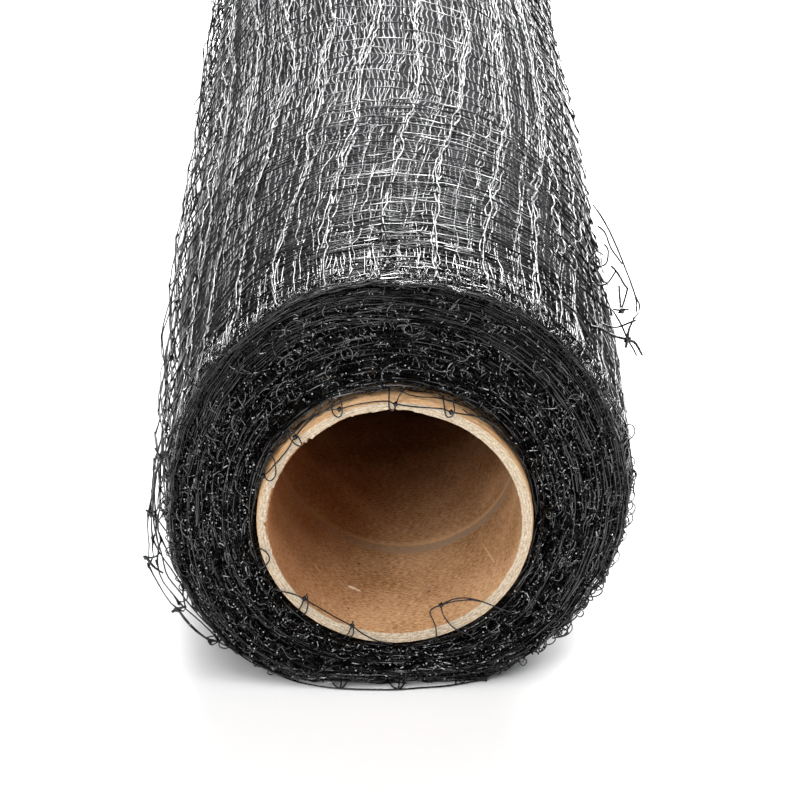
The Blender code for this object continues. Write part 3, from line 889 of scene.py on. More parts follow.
def ply(rng, depth, bunched, spread, row_shift, crossed, points_along):
    """One ply of net round the roll, depth below its surface. A bunched ply's strands lie on the ridges.

    The strands round the roll are made for a distance of crossed from each end.
    """
    grid = knot_grid(rng, depth, bunched, spread, row_shift)

    # along the roll: slack
    lines = [between(rng, values, 0, *bends, points_along) for values, bends in zip(grid, SLACK)]
    lines = [np.moveaxis(line, 0, 1).reshape(MESHES_ROUND + 1, -1)[:-1] for line in lines]
    lengthwise = on_roll(*lines)
    thick = 1.2 if bunched else 0.92
    lengthwise_radius = swelling(
        lengthwise.shape[1], points_along, thick * STRAND_RADIUS, thick * KNOT_RADIUS
    )

    # round the roll: tight
    middles = grid[1].mean(axis=1)
    from_end = np.minimum(middles, NET_LENGTH - middles)
    inside = np.flatnonzero((from_end > 1 * MM) & (from_end < crossed))
    lines = [between(rng, values[inside], 1, *bends, POINTS_ROUND) for values, bends in zip(grid, TIGHT)]
    crosswise = on_roll(*(line.reshape(len(inside), -1) for line in lines))
    crosswise_radius = swelling(crosswise.shape[1], POINTS_ROUND, STRAND_RADIUS, KNOT_RADIUS)

    at_edge = from_end[inside] < EDGE_ROWS
    edge_rows.append(tubes(crosswise[at_edge], crosswise_radius))
    crossings = [values[inside][:, :-1].ravel() for values in grid]
    return [
        tubes(lengthwise, lengthwise_radius),
        tubes(crosswise[~at_edge], crosswise_radius),
        knots(on_roll(*crossings), outward(crossings[0]), (0.9 * MM, 0.7 * MM, 0.30 * MM)),
    ]


# In the open the strands are painted a dark grey-black, lighter than on the ends, as painted light on the
# lit top, with a wide soft shine.
netting = stretched_polypropylene("black stretched polypropylene", "#0a0a0b", (0.28, 0.46), "#1c1c1e", 0.6)
plies_rng = np.random.default_rng(21)
for number, group in enumerate(PLY_GROUPS, 1):
    parts = []
    for k in group:
        outer = k < OUTER_PLIES
        crossed = OUTER_CROSSED if outer else INNER_CROSSED
        parts += ply(
            plies_rng, k * PLY_STEP, bunched=k in BUNCHED, spread=k * 4 / 9 % 1,
            crossed=NET_LENGTH if k in WHOLE_PLIES else crossed,
            row_shift=(k / 6 + (0 if outer else 1 / 12) + plies_rng.uniform(0, 0.08)) % 1,
            points_along=4 if outer else 3,
        )
    show(f"net_plies_{number}", fill_mesh("net plies", *join(parts)), [netting])


# ---------------------------------------------------------------- the folded edges at the two ends
# The net was folded along its length, and wound with the folds at both ends. There, strands turn
# back on themselves in hooks and loops, over the tight strands that circle the core.

END_WIRE = 0.155 * MM
EDGE_WIRE, EDGE_KNOT = 0.16 * MM, 0.30 * MM
POINTS_TIGHT = 4  # of a tight strand, from knot to knot
TIGHT_STEP = NET_PITCH / POINTS_TIGHT
UPPER_HALF = (-0.4, math.pi + 0.4)  # directions, in radians


def each(rng, count, low, high):
    """One random value for each of several strands."""
    return rng.uniform(low, high, (count, 1))


def end_radius(share):
    """The radius at a share of the way from the core out to the shoulder."""
    return CORE_RADIUS + share * WOUND_DEPTH


def end_arcs(rng, count, steps, toward):
    """Strands that circle the core, seen end on: tight, in layers, swelling at each knot."""
    share = each(rng, count, 0.03, 1) ** 0.9
    start = each(rng, count, 0, math.tau)
    angle = start + np.arange(steps) * TIGHT_STEP / end_radius(share)
    share = share + wander(rng, count, steps, 0.022, 8) + wander(rng, count, steps, 0.006, 4)
    lift = (0.8 - 4.6 * each(rng, count, 0, 1) ** 1.3) * MM + wander(rng, count, steps, 0.45 * MM, 4)
    radius = swelling(steps, POINTS_TIGHT, 0.9 * END_WIRE, 1.5 * END_WIRE)
    return tubes(on_end(angle, share, lift, toward), radius)


def end_hooks(rng, count, toward, wide_mm, tall_mm, steps=7):
    """Strands along the roll that come out at the fold, turn and go back in."""
    bend = np.linspace(0, math.pi, steps)
    share = each(rng, count, 0.03, 0.97)
    start = each(rng, count, 0, math.tau)
    wide = each(rng, count, *wide_mm) * MM
    tall = each(rng, count, *tall_mm) * MM
    turned = each(rng, count, -1.2, 1.2)
    angle = start - wide * np.cos(bend) * np.cos(turned) / end_radius(share)
    share = share - wide * np.cos(bend) * np.sin(turned) / WOUND_DEPTH
    lift = each(rng, count, -2.0, -0.6) * MM + tall * np.sin(bend)
    return tubes(on_end(angle, share, lift, toward), END_WIRE)


def end_loops(rng, count, toward, radii_mm=(1.6, 3.8), lying_deg=(10, 75)):
    """Open curls that stand off the end, or lie on it."""
    steps = 11
    span = each(rng, count, 2.9, 5.6)
    bend = each(rng, count, 0, math.tau) + span * np.linspace(-0.5, 0.5, steps)
    size = each(rng, count, *radii_mm) * MM
    stretch = each(rng, count, 0.55, 1.0)
    tilt = np.radians(each(rng, count, *lying_deg))
    share = each(rng, count, 0.14, 0.95)
    angle = each(rng, count, 0, math.tau)
    across = size * stretch * np.sin(bend)
    lift = each(rng, count, 0.1, 1.3) * MM + across * np.sin(tilt) * 0.6
    lift = lift - np.abs(np.linspace(-1, 1, steps)) ** 4 * 1.6 * MM
    angle = angle + size * np.cos(bend) / end_radius(share)
    share = share + across * np.cos(tilt) / WOUND_DEPTH
    return tubes(on_end(angle, share, lift, toward), END_WIRE * 0.9, twist=0.10)


def end_curls(rng, count, toward):
    """Short slack strands that wind about on the end."""
    steps = 10
    step = each(rng, count, 0.6, 1.35) * MM
    turn = rng.normal(0, 0.42, (count, 1)) + wander(rng, count, steps, 0.30, 3)
    heading = each(rng, count, 0, math.tau) + np.cumsum(turn, axis=1)
    share = each(rng, count, 0.06, 0.97)
    angle = each(rng, count, 0, math.tau)
    angle = angle + np.cumsum(step * np.cos(heading), axis=1) / end_radius(share)
    share = share + np.cumsum(step * np.sin(heading), axis=1) / WOUND_DEPTH
    lift = each(rng, count, -0.4, 0.9) * MM + wander(rng, count, steps, 0.5 * MM, 3)
    lift = lift - 1.2 * MM * np.abs(np.linspace(-1, 1, steps)) ** 6
    return tubes(on_end(angle, np.clip(share, 0, 1), lift, toward), END_WIRE * 0.9)


def end_strays(rng, count, toward):
    """Longer strands pulled slack across the end."""
    steps = 12
    middle_out = np.linspace(-0.5, 0.5, steps)
    hump = np.cos(math.pi * middle_out)
    share = each(rng, count, 0.05, 0.95)
    angle = each(rng, count, 0, math.tau)
    heading = rng.normal(0, 0.55, (count, 1))
    line = each(rng, count, 7, 17) * MM * middle_out
    bow = rng.normal(0, 2.2, (count, 1)) * MM * hump
    lift = 0.9 * MM * hump * each(rng, count, 0.4, 1.6) - 0.5 * MM
    angle = angle + (line * np.cos(heading) - bow * np.sin(heading)) / end_radius(share)
    share = share + (line * np.sin(heading) + bow * np.cos(heading)) / WOUND_DEPTH
    return tubes(on_end(angle, np.clip(share, 0, 1), lift, toward), END_WIRE)


def end_knots(rng, count, toward):
    """Knots, pressed flat and shiny, that catch the light between the strands: each shows one flat side."""
    share = rng.uniform(0.03, 1, count) ** 0.9
    angle = rng.uniform(0, math.tau, count)
    facing = unit(0.24 * rng.normal(0, 1, (count, 3)) + np.array([-0.12, -0.75 * toward, 0.66]))
    first = unit(np.cross(facing, rng.normal(0, 1, (count, 3))))
    second = np.cross(facing, first)
    size = each(rng, count, 0.18, 0.36) * MM
    middle = on_end(angle, share, rng.uniform(-0.5, 1.0, count) * MM, toward)
    corners = [
        middle + size * (math.cos(turn) * first + math.sin(turn) * second) for turn in (0.0, 2.09, 4.19)
    ]
    points = np.stack([*corners, middle - 0.6 * size * facing], axis=1)
    sides = np.array([(0, 1, 2), (0, 3, 1), (1, 3, 2), (2, 3, 0)])
    return points.reshape(-1, 3), (sides[None] + 4 * np.arange(count)[:, None, None]).reshape(-1, 3)


def fold_arcs(rng, count, steps):
    """Long taut strands, close together, round the upper part of the near end just inside the fold."""
    share = 1 - 0.32 * each(rng, count, 0, 1) ** 1.4
    angle = each(rng, count, 0.2, 2.3) + np.arange(steps) * TIGHT_STEP / end_radius(share)
    share = share + rng.normal(0, 0.035, (count, 1)) * np.linspace(-1, 1, steps)
    share = share + wander(rng, count, steps, 0.018, 8) + wander(rng, count, steps, 0.005, 4)
    lift = each(rng, count, -0.8, 0.8) * MM + wander(rng, count, steps, 0.4 * MM, 4)
    radius = swelling(steps, POINTS_TIGHT, 0.9 * END_WIRE, 1.5 * END_WIRE)
    return tubes(on_end(angle, share, lift, 1), radius)


def shoulder_arcs(rng, count, steps, far, reach=38 * MM):
    """The edges of many plies, close behind the fold: strands round the roll that cross and slip."""
    travelled = np.arange(steps) * TIGHT_STEP
    angle = each(rng, count, -0.6, math.pi) + travelled / WIND_RADIUS
    along = reach * each(rng, count, 0, 1) ** 1.2 + wander(rng, count, steps, 0.8 * MM, 4)
    along = along + rng.normal(0, 0.05, (count, 1)) * travelled
    lift = each(rng, count, -1.0, 0.2) * MM + wander(rng, count, steps, 0.2 * MM, 4)
    if far:
        along = NET_LENGTH - along
    return tubes(on_roll(angle, along, lift), swelling(steps, POINTS_TIGHT, EDGE_WIRE, EDGE_KNOT))


def shoulder_rungs(rng, count):
    """Strands along the roll whose plies were wound a little forward: they stop at the near shoulder."""
    steps = 9
    share = np.linspace(0, 1, steps)
    angle = each(rng, count, *UPPER_HALF) + wander(rng, count, steps, 0.5 * MM / WIND_RADIUS, 2)
    along = each(rng, count, -1.5, 8.0) * MM + each(rng, count, 12, 50) * MM * share
    lift = each(rng, count, -0.8, 0.15) * MM + wander(rng, count, steps, 0.22 * MM, 2)
    lift = lift - 0.9 * MM * share**3
    return tubes(on_roll(angle, along, lift), swelling(steps, POINTS_TIGHT, EDGE_WIRE, EDGE_KNOT, phase=1))


def shoulder_hooks(rng, count, far, ends_mm=(-1.0, 12.0), angles=(0, math.tau)):
    """Hooks where the outermost strands turn at the fold, over the roll's rounded shoulder."""
    bend = np.linspace(0, math.pi, 10)
    angle = each(rng, count, *angles)
    wide = each(rng, count, 0.8, 3.2) * MM
    long = (4 + 22 * each(rng, count, 0, 1) ** 1.5) * MM
    end = each(rng, count, *ends_mm) * MM
    skew = rng.normal(0, 0.10, (count, 1))
    along = end + long * (1 - np.sin(bend)) ** 1.2
    sideways = wide * -np.cos(bend) * (1.1 - 0.5 * np.cos(bend) ** 2) + skew * along
    lift = each(rng, count, -0.5, 0.3) + 0.9 * np.sin(bend) * each(rng, count, 0, 1) ** 4
    lift = lift * MM - 0.8 * MM * np.cos(bend) ** 6
    if far:
        along = NET_LENGTH - along
    return tubes(on_roll(angle + sideways / WIND_RADIUS, along, lift), 0.18 * MM)


def fold_strands(rng, count):
    """Strands of the outer plies that run on over the shoulder and turn in on the near end."""
    steps = 12
    share = np.linspace(0, 1, steps)
    down = each(rng, count, 0.5, 7.0) * MM
    back = each(rng, count, 3, 14) * MM
    past = (down + back) * share - down
    curl = rng.normal(0, 2.6, (count, 1)) * MM * (1 - share) ** 2.5 + wander(rng, count, steps, 0.6 * MM, 2)
    angle = each(rng, count, *UPPER_HALF) + curl / WIND_RADIUS
    lift = each(rng, count, -0.5, 0.5) * MM + wander(rng, count, steps, 0.35 * MM, 2)
    lift = lift - 1.2 * MM * (1 - share) ** 4
    on_face = on_end(angle, 1 + past / WOUND_DEPTH, lift, 1)
    on_top = on_roll(angle, np.maximum(past, 0.5 * MM), lift)
    over = smooth_step(past, -2.5 * MM, 2.5 * MM)[..., None]
    radius = swelling(steps, POINTS_TIGHT, EDGE_WIRE, 0.28 * MM, phase=1)
    return tubes(on_face * (1 - over) + on_top * over, radius)


def edge_loops(rng, count, from_deg, to_deg):
    """Small slack loops that stand out past the roll's outline, at its near edge."""
    steps = 12
    turn = each(rng, count, -0.6, 0.6) + np.linspace(-0.35, math.pi + 0.35, steps)
    size = (0.7 + 1.5 * each(rng, count, 0, 1) ** 1.5) * MM
    angle = np.radians(each(rng, count, from_deg, to_deg)) + size * np.cos(turn) / WIND_RADIUS
    along = each(rng, count, 1, 10) * MM + 0.6 * size * np.sin(turn + 0.8)
    lift = each(rng, count, -0.6, 0.5) * MM + 1.1 * size * np.sin(turn)
    return tubes(on_roll(angle, along, lift), 0.2 * MM, sides=4)


near_rng, far_rng = np.random.default_rng(31), np.random.default_rng(37)
near_arcs = [
    end_arcs(near_rng, 90, 40, 1),
    end_arcs(near_rng, 260, 15, 1),
    end_hooks(near_rng, 350, 1, (1.0, 3.0), (1.4, 2.8)),
    end_hooks(near_rng, 3000, 1, (0.3, 1.1), (0.9, 2.0), steps=5),
]
near_shoulder_edges = [
    *edge_rows,
    shoulder_arcs(near_rng, 80, 30, far=False, reach=9 * MM),
    fold_arcs(np.random.default_rng(59), 130, 16),
]
near_shoulder = [
    shoulder_hooks(near_rng, 260, far=False),
    shoulder_arcs(near_rng, 50, 30, far=False),
    shoulder_rungs(near_rng, 380),
    fold_strands(np.random.default_rng(61), 400),
    shoulder_hooks(np.random.default_rng(67), 90, far=False, ends_mm=(-3.0, 2.0), angles=(-0.2, 3.4)),
    edge_loops(near_rng, 45, -75, 5),
    edge_loops(near_rng, 22, 175, 250),
    edge_loops(near_rng, 30, 0, 180),
]
near_curls = [
    end_loops(near_rng, 430, 1, radii_mm=(1.2, 3.2)),
    end_loops(near_rng, 70, 1, radii_mm=(2.8, 4.6), lying_deg=(0, 25)),
    end_curls(near_rng, 900, 1),
    end_strays(near_rng, 120, 1),
]
far_ends = [
    end_arcs(far_rng, 90, 40, -1),
    end_hooks(far_rng, 400, -1, (0.5, 2.4), (1.0, 2.4)),
    end_loops(far_rng, 160, -1),
    end_curls(far_rng, 160, -1),
    end_strays(far_rng, 40, -1),
    shoulder_hooks(far_rng, 150, far=True),
    shoulder_arcs(far_rng, 40, 30, far=True),
]
near_knots = [end_knots(near_rng, 6000, 1)]

# Seen end on, the stretched strands are painted the blackest, as painted shade on the end faces, with a
# narrow sharp glint.
glossy_net = stretched_polypropylene(
    "black stretched polypropylene, end on", "#040405", (0.05, 0.12), "#0c0c0e", 0.42
)
# Taut over the fold, they are painted a little greyer, as painted light, and take the light from above as a
# soft shine.
fold_net = stretched_polypropylene(
    "black stretched polypropylene, at the fold", "#070708", (0.14, 0.28), "#131315", 0.7
)
# Slack strands stay black against the white table, with a faint shine.
slack_net = stretched_polypropylene(
    "black stretched polypropylene, slack", "#060607", (0.14, 0.26), "#101012", 0.45
)
# Knots and curls pressed flat between the turns came out polished: each flashes white.
polished_net = stretched_polypropylene(
    "black stretched polypropylene, pressed flat", "#050506", (0.04, 0.10), "#0e0e10", 0.95
)
for name, parts, finish, smooth in (
    ("near_end_knots", near_knots, polished_net, False),
    ("near_end_arcs_and_folds", near_arcs, glossy_net, False),
    ("shoulder_edges", near_shoulder_edges, fold_net, True),
    ("near_shoulder_folds", near_shoulder, slack_net, True),
    ("near_end_loops", near_curls, polished_net, False),
    ("far_end_folds", far_ends, glossy_net, False),
):
    show(name, fill_mesh(name.replace("_", " "), *join(parts), smooth=smooth), [finish])


# ---------------------------------------------------------------- the loose outer turn, on the left
# The last turn of net was not pulled tight. A few meshes of it, two plies thick, hang off the
# left side from end to end, standing furthest off at the near end. They hold on at both edges.

LOOSE_WIRE, LOOSE_KNOT = 0.22 * MM, 0.40 * MM
POINTS_LOOSE = 5  # of a loose strand, from knot to knot
SQUARE_ENDS = 22 * MM  # the roll's shoulders take up this much at each end


def curve(points, steps):
    """A smooth line of so many points through a few given ones."""
    p = np.asarray(points, float)
    p = np.concatenate([2 * p[:1] - p[1:2], p, 2 * p[-1:] - p[-2:-1]])
    at = np.linspace(0, len(p) - 3, steps)
    k = np.minimum(at.astype(int), len(p) - 4)
    t = (at - k)[:, None]
    a, b, c, d = p[k], p[k + 1], p[k + 2], p[k + 3]
    return 0.5 * (2 * b + (c - a) * t + (2 * a - 5 * b + 4 * c - d) * t**2 + (3 * b - a - 3 * c + d) * t**3)


def off_roll(angle, along, lift):
    """Points off the roll's side, as if its ends were square."""
    radius = roll_radius(angle, np.clip(along, SQUARE_ENDS, NET_LENGTH - SQUARE_ENDS)) + lift
    z = np.maximum(wind_z + radius * np.sin(angle), FLOOR_CLEAR)
    return np.stack([wind_x + radius * np.cos(angle), front_y + along, z], axis=-1)


def slack_stretches(rng, first, second, sag, share):
    """The points from each knot of first to its neighbour in second, sagging and snaking."""
    line = first[..., None, :] * (1 - share) + second[..., None, :] * share
    bend = rng.normal(0, 1, (*first.shape[:-1], 1, 3)) * np.array(sag)
    snake = rng.normal(0, 0.4, (*first.shape[:-1], 1, 3)) * np.array(sag)
    return line + bend * np.sin(math.pi * share) + snake * np.sin(math.tau * share)


def loose_net(rng, angles_deg, lifts_near, lifts_far, noise, start=0.0):
    """A patch of open net off the roll: its rows' directions and their heights at the near and far end."""
    rows = len(angles_deg)
    length = (1.0 - start) * NET_LENGTH
    stations = int(round(length / NET_PITCH)) + 1
    along = start * NET_LENGTH + np.linspace(0, length, stations)[:, None]
    along = along + rng.normal(0, noise, (stations, rows))
    along = np.clip(along, 0.6 * MM, NET_LENGTH - 0.6 * MM)
    angle = np.radians(angles_deg) + rng.normal(0, 0.9 * noise / WIND_RADIUS, (stations, rows))
    angle = angle + 0.6 * lean(along)
    away = smooth_step(along, 10 * MM, 120 * MM)
    lift = np.array(lifts_near) * MM * (1 - away) + np.array(lifts_far) * MM * away
    lift = lift * (1 + rng.normal(0, 0.12, lift.shape) * away) + rng.normal(0, 0.2 * MM, lift.shape)
    knot = np.stack([angle, along, lift], axis=-1)
    share = (np.arange(POINTS_LOOSE) / POINTS_LOOSE)[:, None]
    slack = (1.2 * MM / WIND_RADIUS, 0.2 * MM, 0.7 * MM)
    lengthwise = slack_stretches(rng, knot[:-1], knot[1:], slack, share)
    lengthwise = np.moveaxis(lengthwise, 1, 0).reshape(rows, -1, 3)
    lengthwise = np.concatenate([lengthwise, knot[-1][:, None]], axis=1)
    tight = (0.2 * MM / WIND_RADIUS, 1.0 * MM, 0.4 * MM)
    crosswise = slack_stretches(rng, knot[:, :-1], knot[:, 1:], tight, share)
    crosswise = np.concatenate([crosswise.reshape(stations, -1, 3), knot[:, -1:]], axis=1)
    made = []
    for lines in (lengthwise, crosswise):
        radius = swelling(lines.shape[1], POINTS_LOOSE, LOOSE_WIRE, LOOSE_KNOT)
        made.append(tubes(off_roll(*np.moveaxis(lines, -1, 0)), radius, sides=4))
    angle, along, lift = knot.reshape(-1, 3).T
    made.append(knots(off_roll(angle, along, lift), outward(angle), (1.5 * MM, 1.2 * MM, 0.4 * MM)))
    return made


def from_rim(points):
    """Points given in millimetres right of, above and behind the middle of the near rim."""
    p = np.asarray(points, float) * MM
    return np.stack([core_centre.x + p[..., 0], rim_y + p[..., 2], core_centre.z + p[..., 1]], axis=-1)


def strand_through(points, radius_mm, steps=14, sides=5, taper=1.0):
    """One strand through a few points, thinning towards its end."""
    radius = np.linspace(1, taper, steps) * radius_mm * MM
    return tubes(curve(from_rim(points), steps)[None], radius, sides)


def rim_knots(points, facing, size_mm):
    """Knots at points given from the near rim, all facing one way."""
    out = np.tile([facing], (len(points), 1))
    return knots(from_rim(points), out, np.array(size_mm) * MM)


loose_rng = np.random.default_rng(43)
loose_parts = loose_net(
    loose_rng, (158, 169.9, 185.2, 198.6, 210.7, 222.8),
    (0.9, 2.4, 4.4, 6.4, 3.6, 1.4), (0.9, 4.2, 6.0, 5.8, 4.0, 1.2), 1.1 * MM,
)
loose_parts += loose_net(
    loose_rng, (160, 173, 186, 199, 212, 226),
    (0.9, 1.2, 2.4, 4.0, 2.2, 0.8), (0.9, 2.6, 3.9, 3.8, 2.6, 0.9), 1.6 * MM,
)
turn_edge = [  # the near edge's strands: points, radius in mm, taper, steps
    (((-67.6, 30.5, 3), (-68.5, 21.0, 3), (-70.5, 15.7, 3), (-71.4, 7.3, 3),
      (-71.9, 2.3, 3)), 0.24, 1.0, 18),
    (((-66.3, 28.8, 5), (-69.6, 18.9, 5), (-70.7, 11.3, 5), (-71.7, 2.2, 5), (-71.1, -5.7, 5),
      (-69.6, -12.5, 5), (-68.3, -19.4, 5), (-64.6, -25.4, 5), (-61.8, -29.9, 5), (-57.4, -35.9, 5),
      (-51.6, -42.3, 5)), 0.24, 1.0, 40),
    (((-65.3, -30.1, 3), (-61.8, -35.4, 3), (-57.5, -40.0, 3), (-54.2, -41.4, 3), (-49.4, -44.3, 3),
      (-44.7, -48.3, 3), (-39.3, -51.5, 3)), 0.24, 1.0, 28),
    (((-56.6, -41.4, 3), (-55.7, -42.8, 3), (-54.2, -42.1, 3), (-51.7, -40.4, 3), (-54.7, -39.7, 3),
      (-57.2, -40.3, 3)), 0.22, 1.0, 20),
    (((-71.9, 2.3, 3), (-73.6, 4.0, 3)), 0.50, 0.6, 4),
    (((-71.9, 2.3, 3), (-70.1, 0.6, 3)), 0.50, 0.6, 4),
    (((-68.5, 21.0, 3), (-70.1, 24.6, 3)), 0.50, 0.6, 4),
    (((-68.5, 21.0, 3), (-66.7, 23.6, 3)), 0.40, 0.7, 4),
    (((-68.5, 21.0, 3), (-67.5, 17.3, 3)), 0.38, 0.7, 4),
    (((-74.2, -12.0, 3), (-71.9, -15.5, 3), (-69.3, -17.6, 3)), 0.48, 0.6, 8),
    (((-74.2, -12.0, 3), (-73.3, -12.2, 3), (-71.5, -12.0, 3), (-70.0, -10.7, 3)), 0.36, 0.6, 8),
    (((-67.1, -31.1, 3), (-65.6, -30.1, 3), (-62.8, -29.2, 3)), 0.48, 0.8, 6),
]
loose_parts += [strand_through(p, thick, steps, taper=taper) for p, thick, taper, steps in turn_edge]
edge_knots = [(-71.9, 2.3, 3), (-68.5, 21.0, 3), (-74.2, -12.0, 3), (-65.6, -30.1, 3)]
loose_parts.append(rim_knots(edge_knots, (-0.3, -1, 0.1), (1.0, 0.9, 0.7)))
loose_turn = show("loose_turn_net", fill_mesh("loose turn", *join(loose_parts)), [slack_net])
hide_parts("loose_turn")


# ---------------------------------------------------------------- the loose end, on the right
# The net's own end: two meshes wide, lifting off the upper right of the roll. Near the front it
# frays into stiff cut strands round a black knot drawn out into a four-pointed star.

end_rng = np.random.default_rng(47)
end_parts = loose_net(end_rng, (46, 35, 24), (0.8, 2.0, 3.0), (0.8, 1.8, 2.4), 1.3 * MM, start=0.13)
end_parts += loose_net(end_rng, (44, 32, 21), (0.8, 1.3, 1.8), (0.8, 1.2, 1.6), 1.4 * MM, start=0.10)
STAR = (70.3, 42.2, 38)  # the black knot
frayed = [  # points, radius in mm, taper
    ((STAR, (70.8, 45.6, 38), (72.1, 48.5, 38.5)), 0.55, 0.45),
    ((STAR, (70.2, 41.0, 38), (70.0, 39.4, 38)), 0.62, 0.7),
    ((STAR, (72.5, 41.5, 37), (73.8, 39.8, 36), (74.9, 37.7, 36)), 0.55, 0.6),
    ((STAR, (66.4, 42.4, 40), (63.0, 43.7, 42), (59.3, 44.7, 42), (56.3, 44.1, 43)), 0.50, 0.6),
    (((72.8, 47.5, 40), (69.8, 44.6, 43), (68.0, 43.4, 44), (66.2, 43.4, 44), (62.4, 44.4, 45)), 0.34, 0.7),
    (((72.1, 48.5, 39), (74.1, 47.0, 46), (74.9, 47.6, 50), (74.0, 49.9, 50), (73.4, 51.3, 50)), 0.37, 0.7),
    (((57.0, 53.0, 53), (59.9, 50.4, 52), (63.0, 47.7, 52), (66.7, 45.7, 52), (69.5, 45.3, 52),
      (71.9, 45.6, 52)), 0.37, 0.8),
    (((69.0, 51.5, 56), (69.4, 47.5, 56), (69.7, 44.3, 56)), 0.35, 1.0),
    (((71.8, 50.5, 57), (71.0, 47.5, 56), (70.2, 44.3, 56)), 0.33, 1.0),
    (((67.3, 53.7, 66), (68.9, 52.0, 66), (70.2, 50.0, 66), (71.5, 47.6, 66), (72.8, 45.9, 66)), 0.35, 1.0),
    (((64.4, 59.3, 84), (66.7, 57.0, 84), (68.7, 51.8, 84), (71.0, 48.4, 84), (72.4, 46.3, 84)), 0.34, 0.8),
    (((63.3, 63.9, 90), (66.2, 61.2, 84), (69.1, 56.8, 78), (72.4, 50.0, 72), (75.2, 43.2, 66),
      (75.0, 41.0, 60)), 0.33, 0.9),
    (((62.4, 51.1, 78), (63.7, 48.7, 78), (65.6, 48.4, 78), (67.1, 49.7, 78), (67.3, 53.8, 78),
      (66.0, 55.8, 78)), 0.33, 0.9),
    (((60.0, 50.5, 72), (63.5, 46.0, 70), (66.5, 46.5, 69), (69.0, 50.5, 69)), 0.33, 0.9),
    (((62.1, 60.6, 62), (60.4, 58.0, 62), (60.0, 54.9, 62), (60.8, 50.9, 61), (61.9, 45.8, 60),
      (63.3, 39.4, 60)), 0.34, 0.9),
    (((70.3, 42.2, 39), (69.0, 44.6, 42), (66.8, 47.4, 46), (65.8, 47.2, 50)), 0.33, 0.8),
    (((70.9, 41.0, 39), (72.4, 38.6, 38), (73.4, 36.6, 38)), 0.31, 0.8),
]
right_curls = [  # further down the near edge on this side
    ((57.1, -22.6, 4), (59.8, -23.0, 4), (61.9, -24.4, 4), (62.3, -25.8, 4), (60.8, -27.2, 4),
     (58.1, -27.5, 4)),
    ((58.0, -23.7, 4), (59.5, -24.4, 4), (60.2, -25.8, 4), (58.7, -26.8, 4)),
    ((56.9, -27.5, 4), (58.4, -28.6, 4), (59.6, -28.4, 4), (58.7, -26.1, 4)),
    ((52.2, -30.6, 4), (53.7, -32.0, 4), (55.0, -33.8, 4), (53.8, -35.5, 4), (51.1, -37.6, 4)),
    ((51.0, -32.7, 4), (52.8, -33.4, 4), (53.2, -35.2, 4), (51.4, -36.2, 4)),
    ((48.4, -36.9, 4), (50.5, -38.0, 4), (52.4, -39.8, 4), (51.2, -41.2, 4), (47.6, -41.9, 4)),
    ((46.9, -38.7, 4), (49.3, -38.7, 4), (50.6, -40.1, 4), (48.8, -41.2, 4)),
]
end_parts += [strand_through(points, thick, taper=taper) for points, thick, taper in frayed]
end_parts += [strand_through(points, 0.24, steps=12) for points in right_curls]
end_parts.append(rim_knots([STAR, (69.6, 45.2, 52), (63.6, 47.4, 78)], (0.2, -1, 0.1), (1.5, 1.1, 0.9)))
loose_end = show("loose_end_net", fill_mesh("loose end", *join(end_parts)), [slack_net])
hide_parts("loose_end")


# ---------------------------------------------------------------- strands over the core's rim
# The innermost turn's edge has slipped forward over the torn rim. Its knots hang there in a row,
# each with a small loop, across the top left and along the bottom of the board.

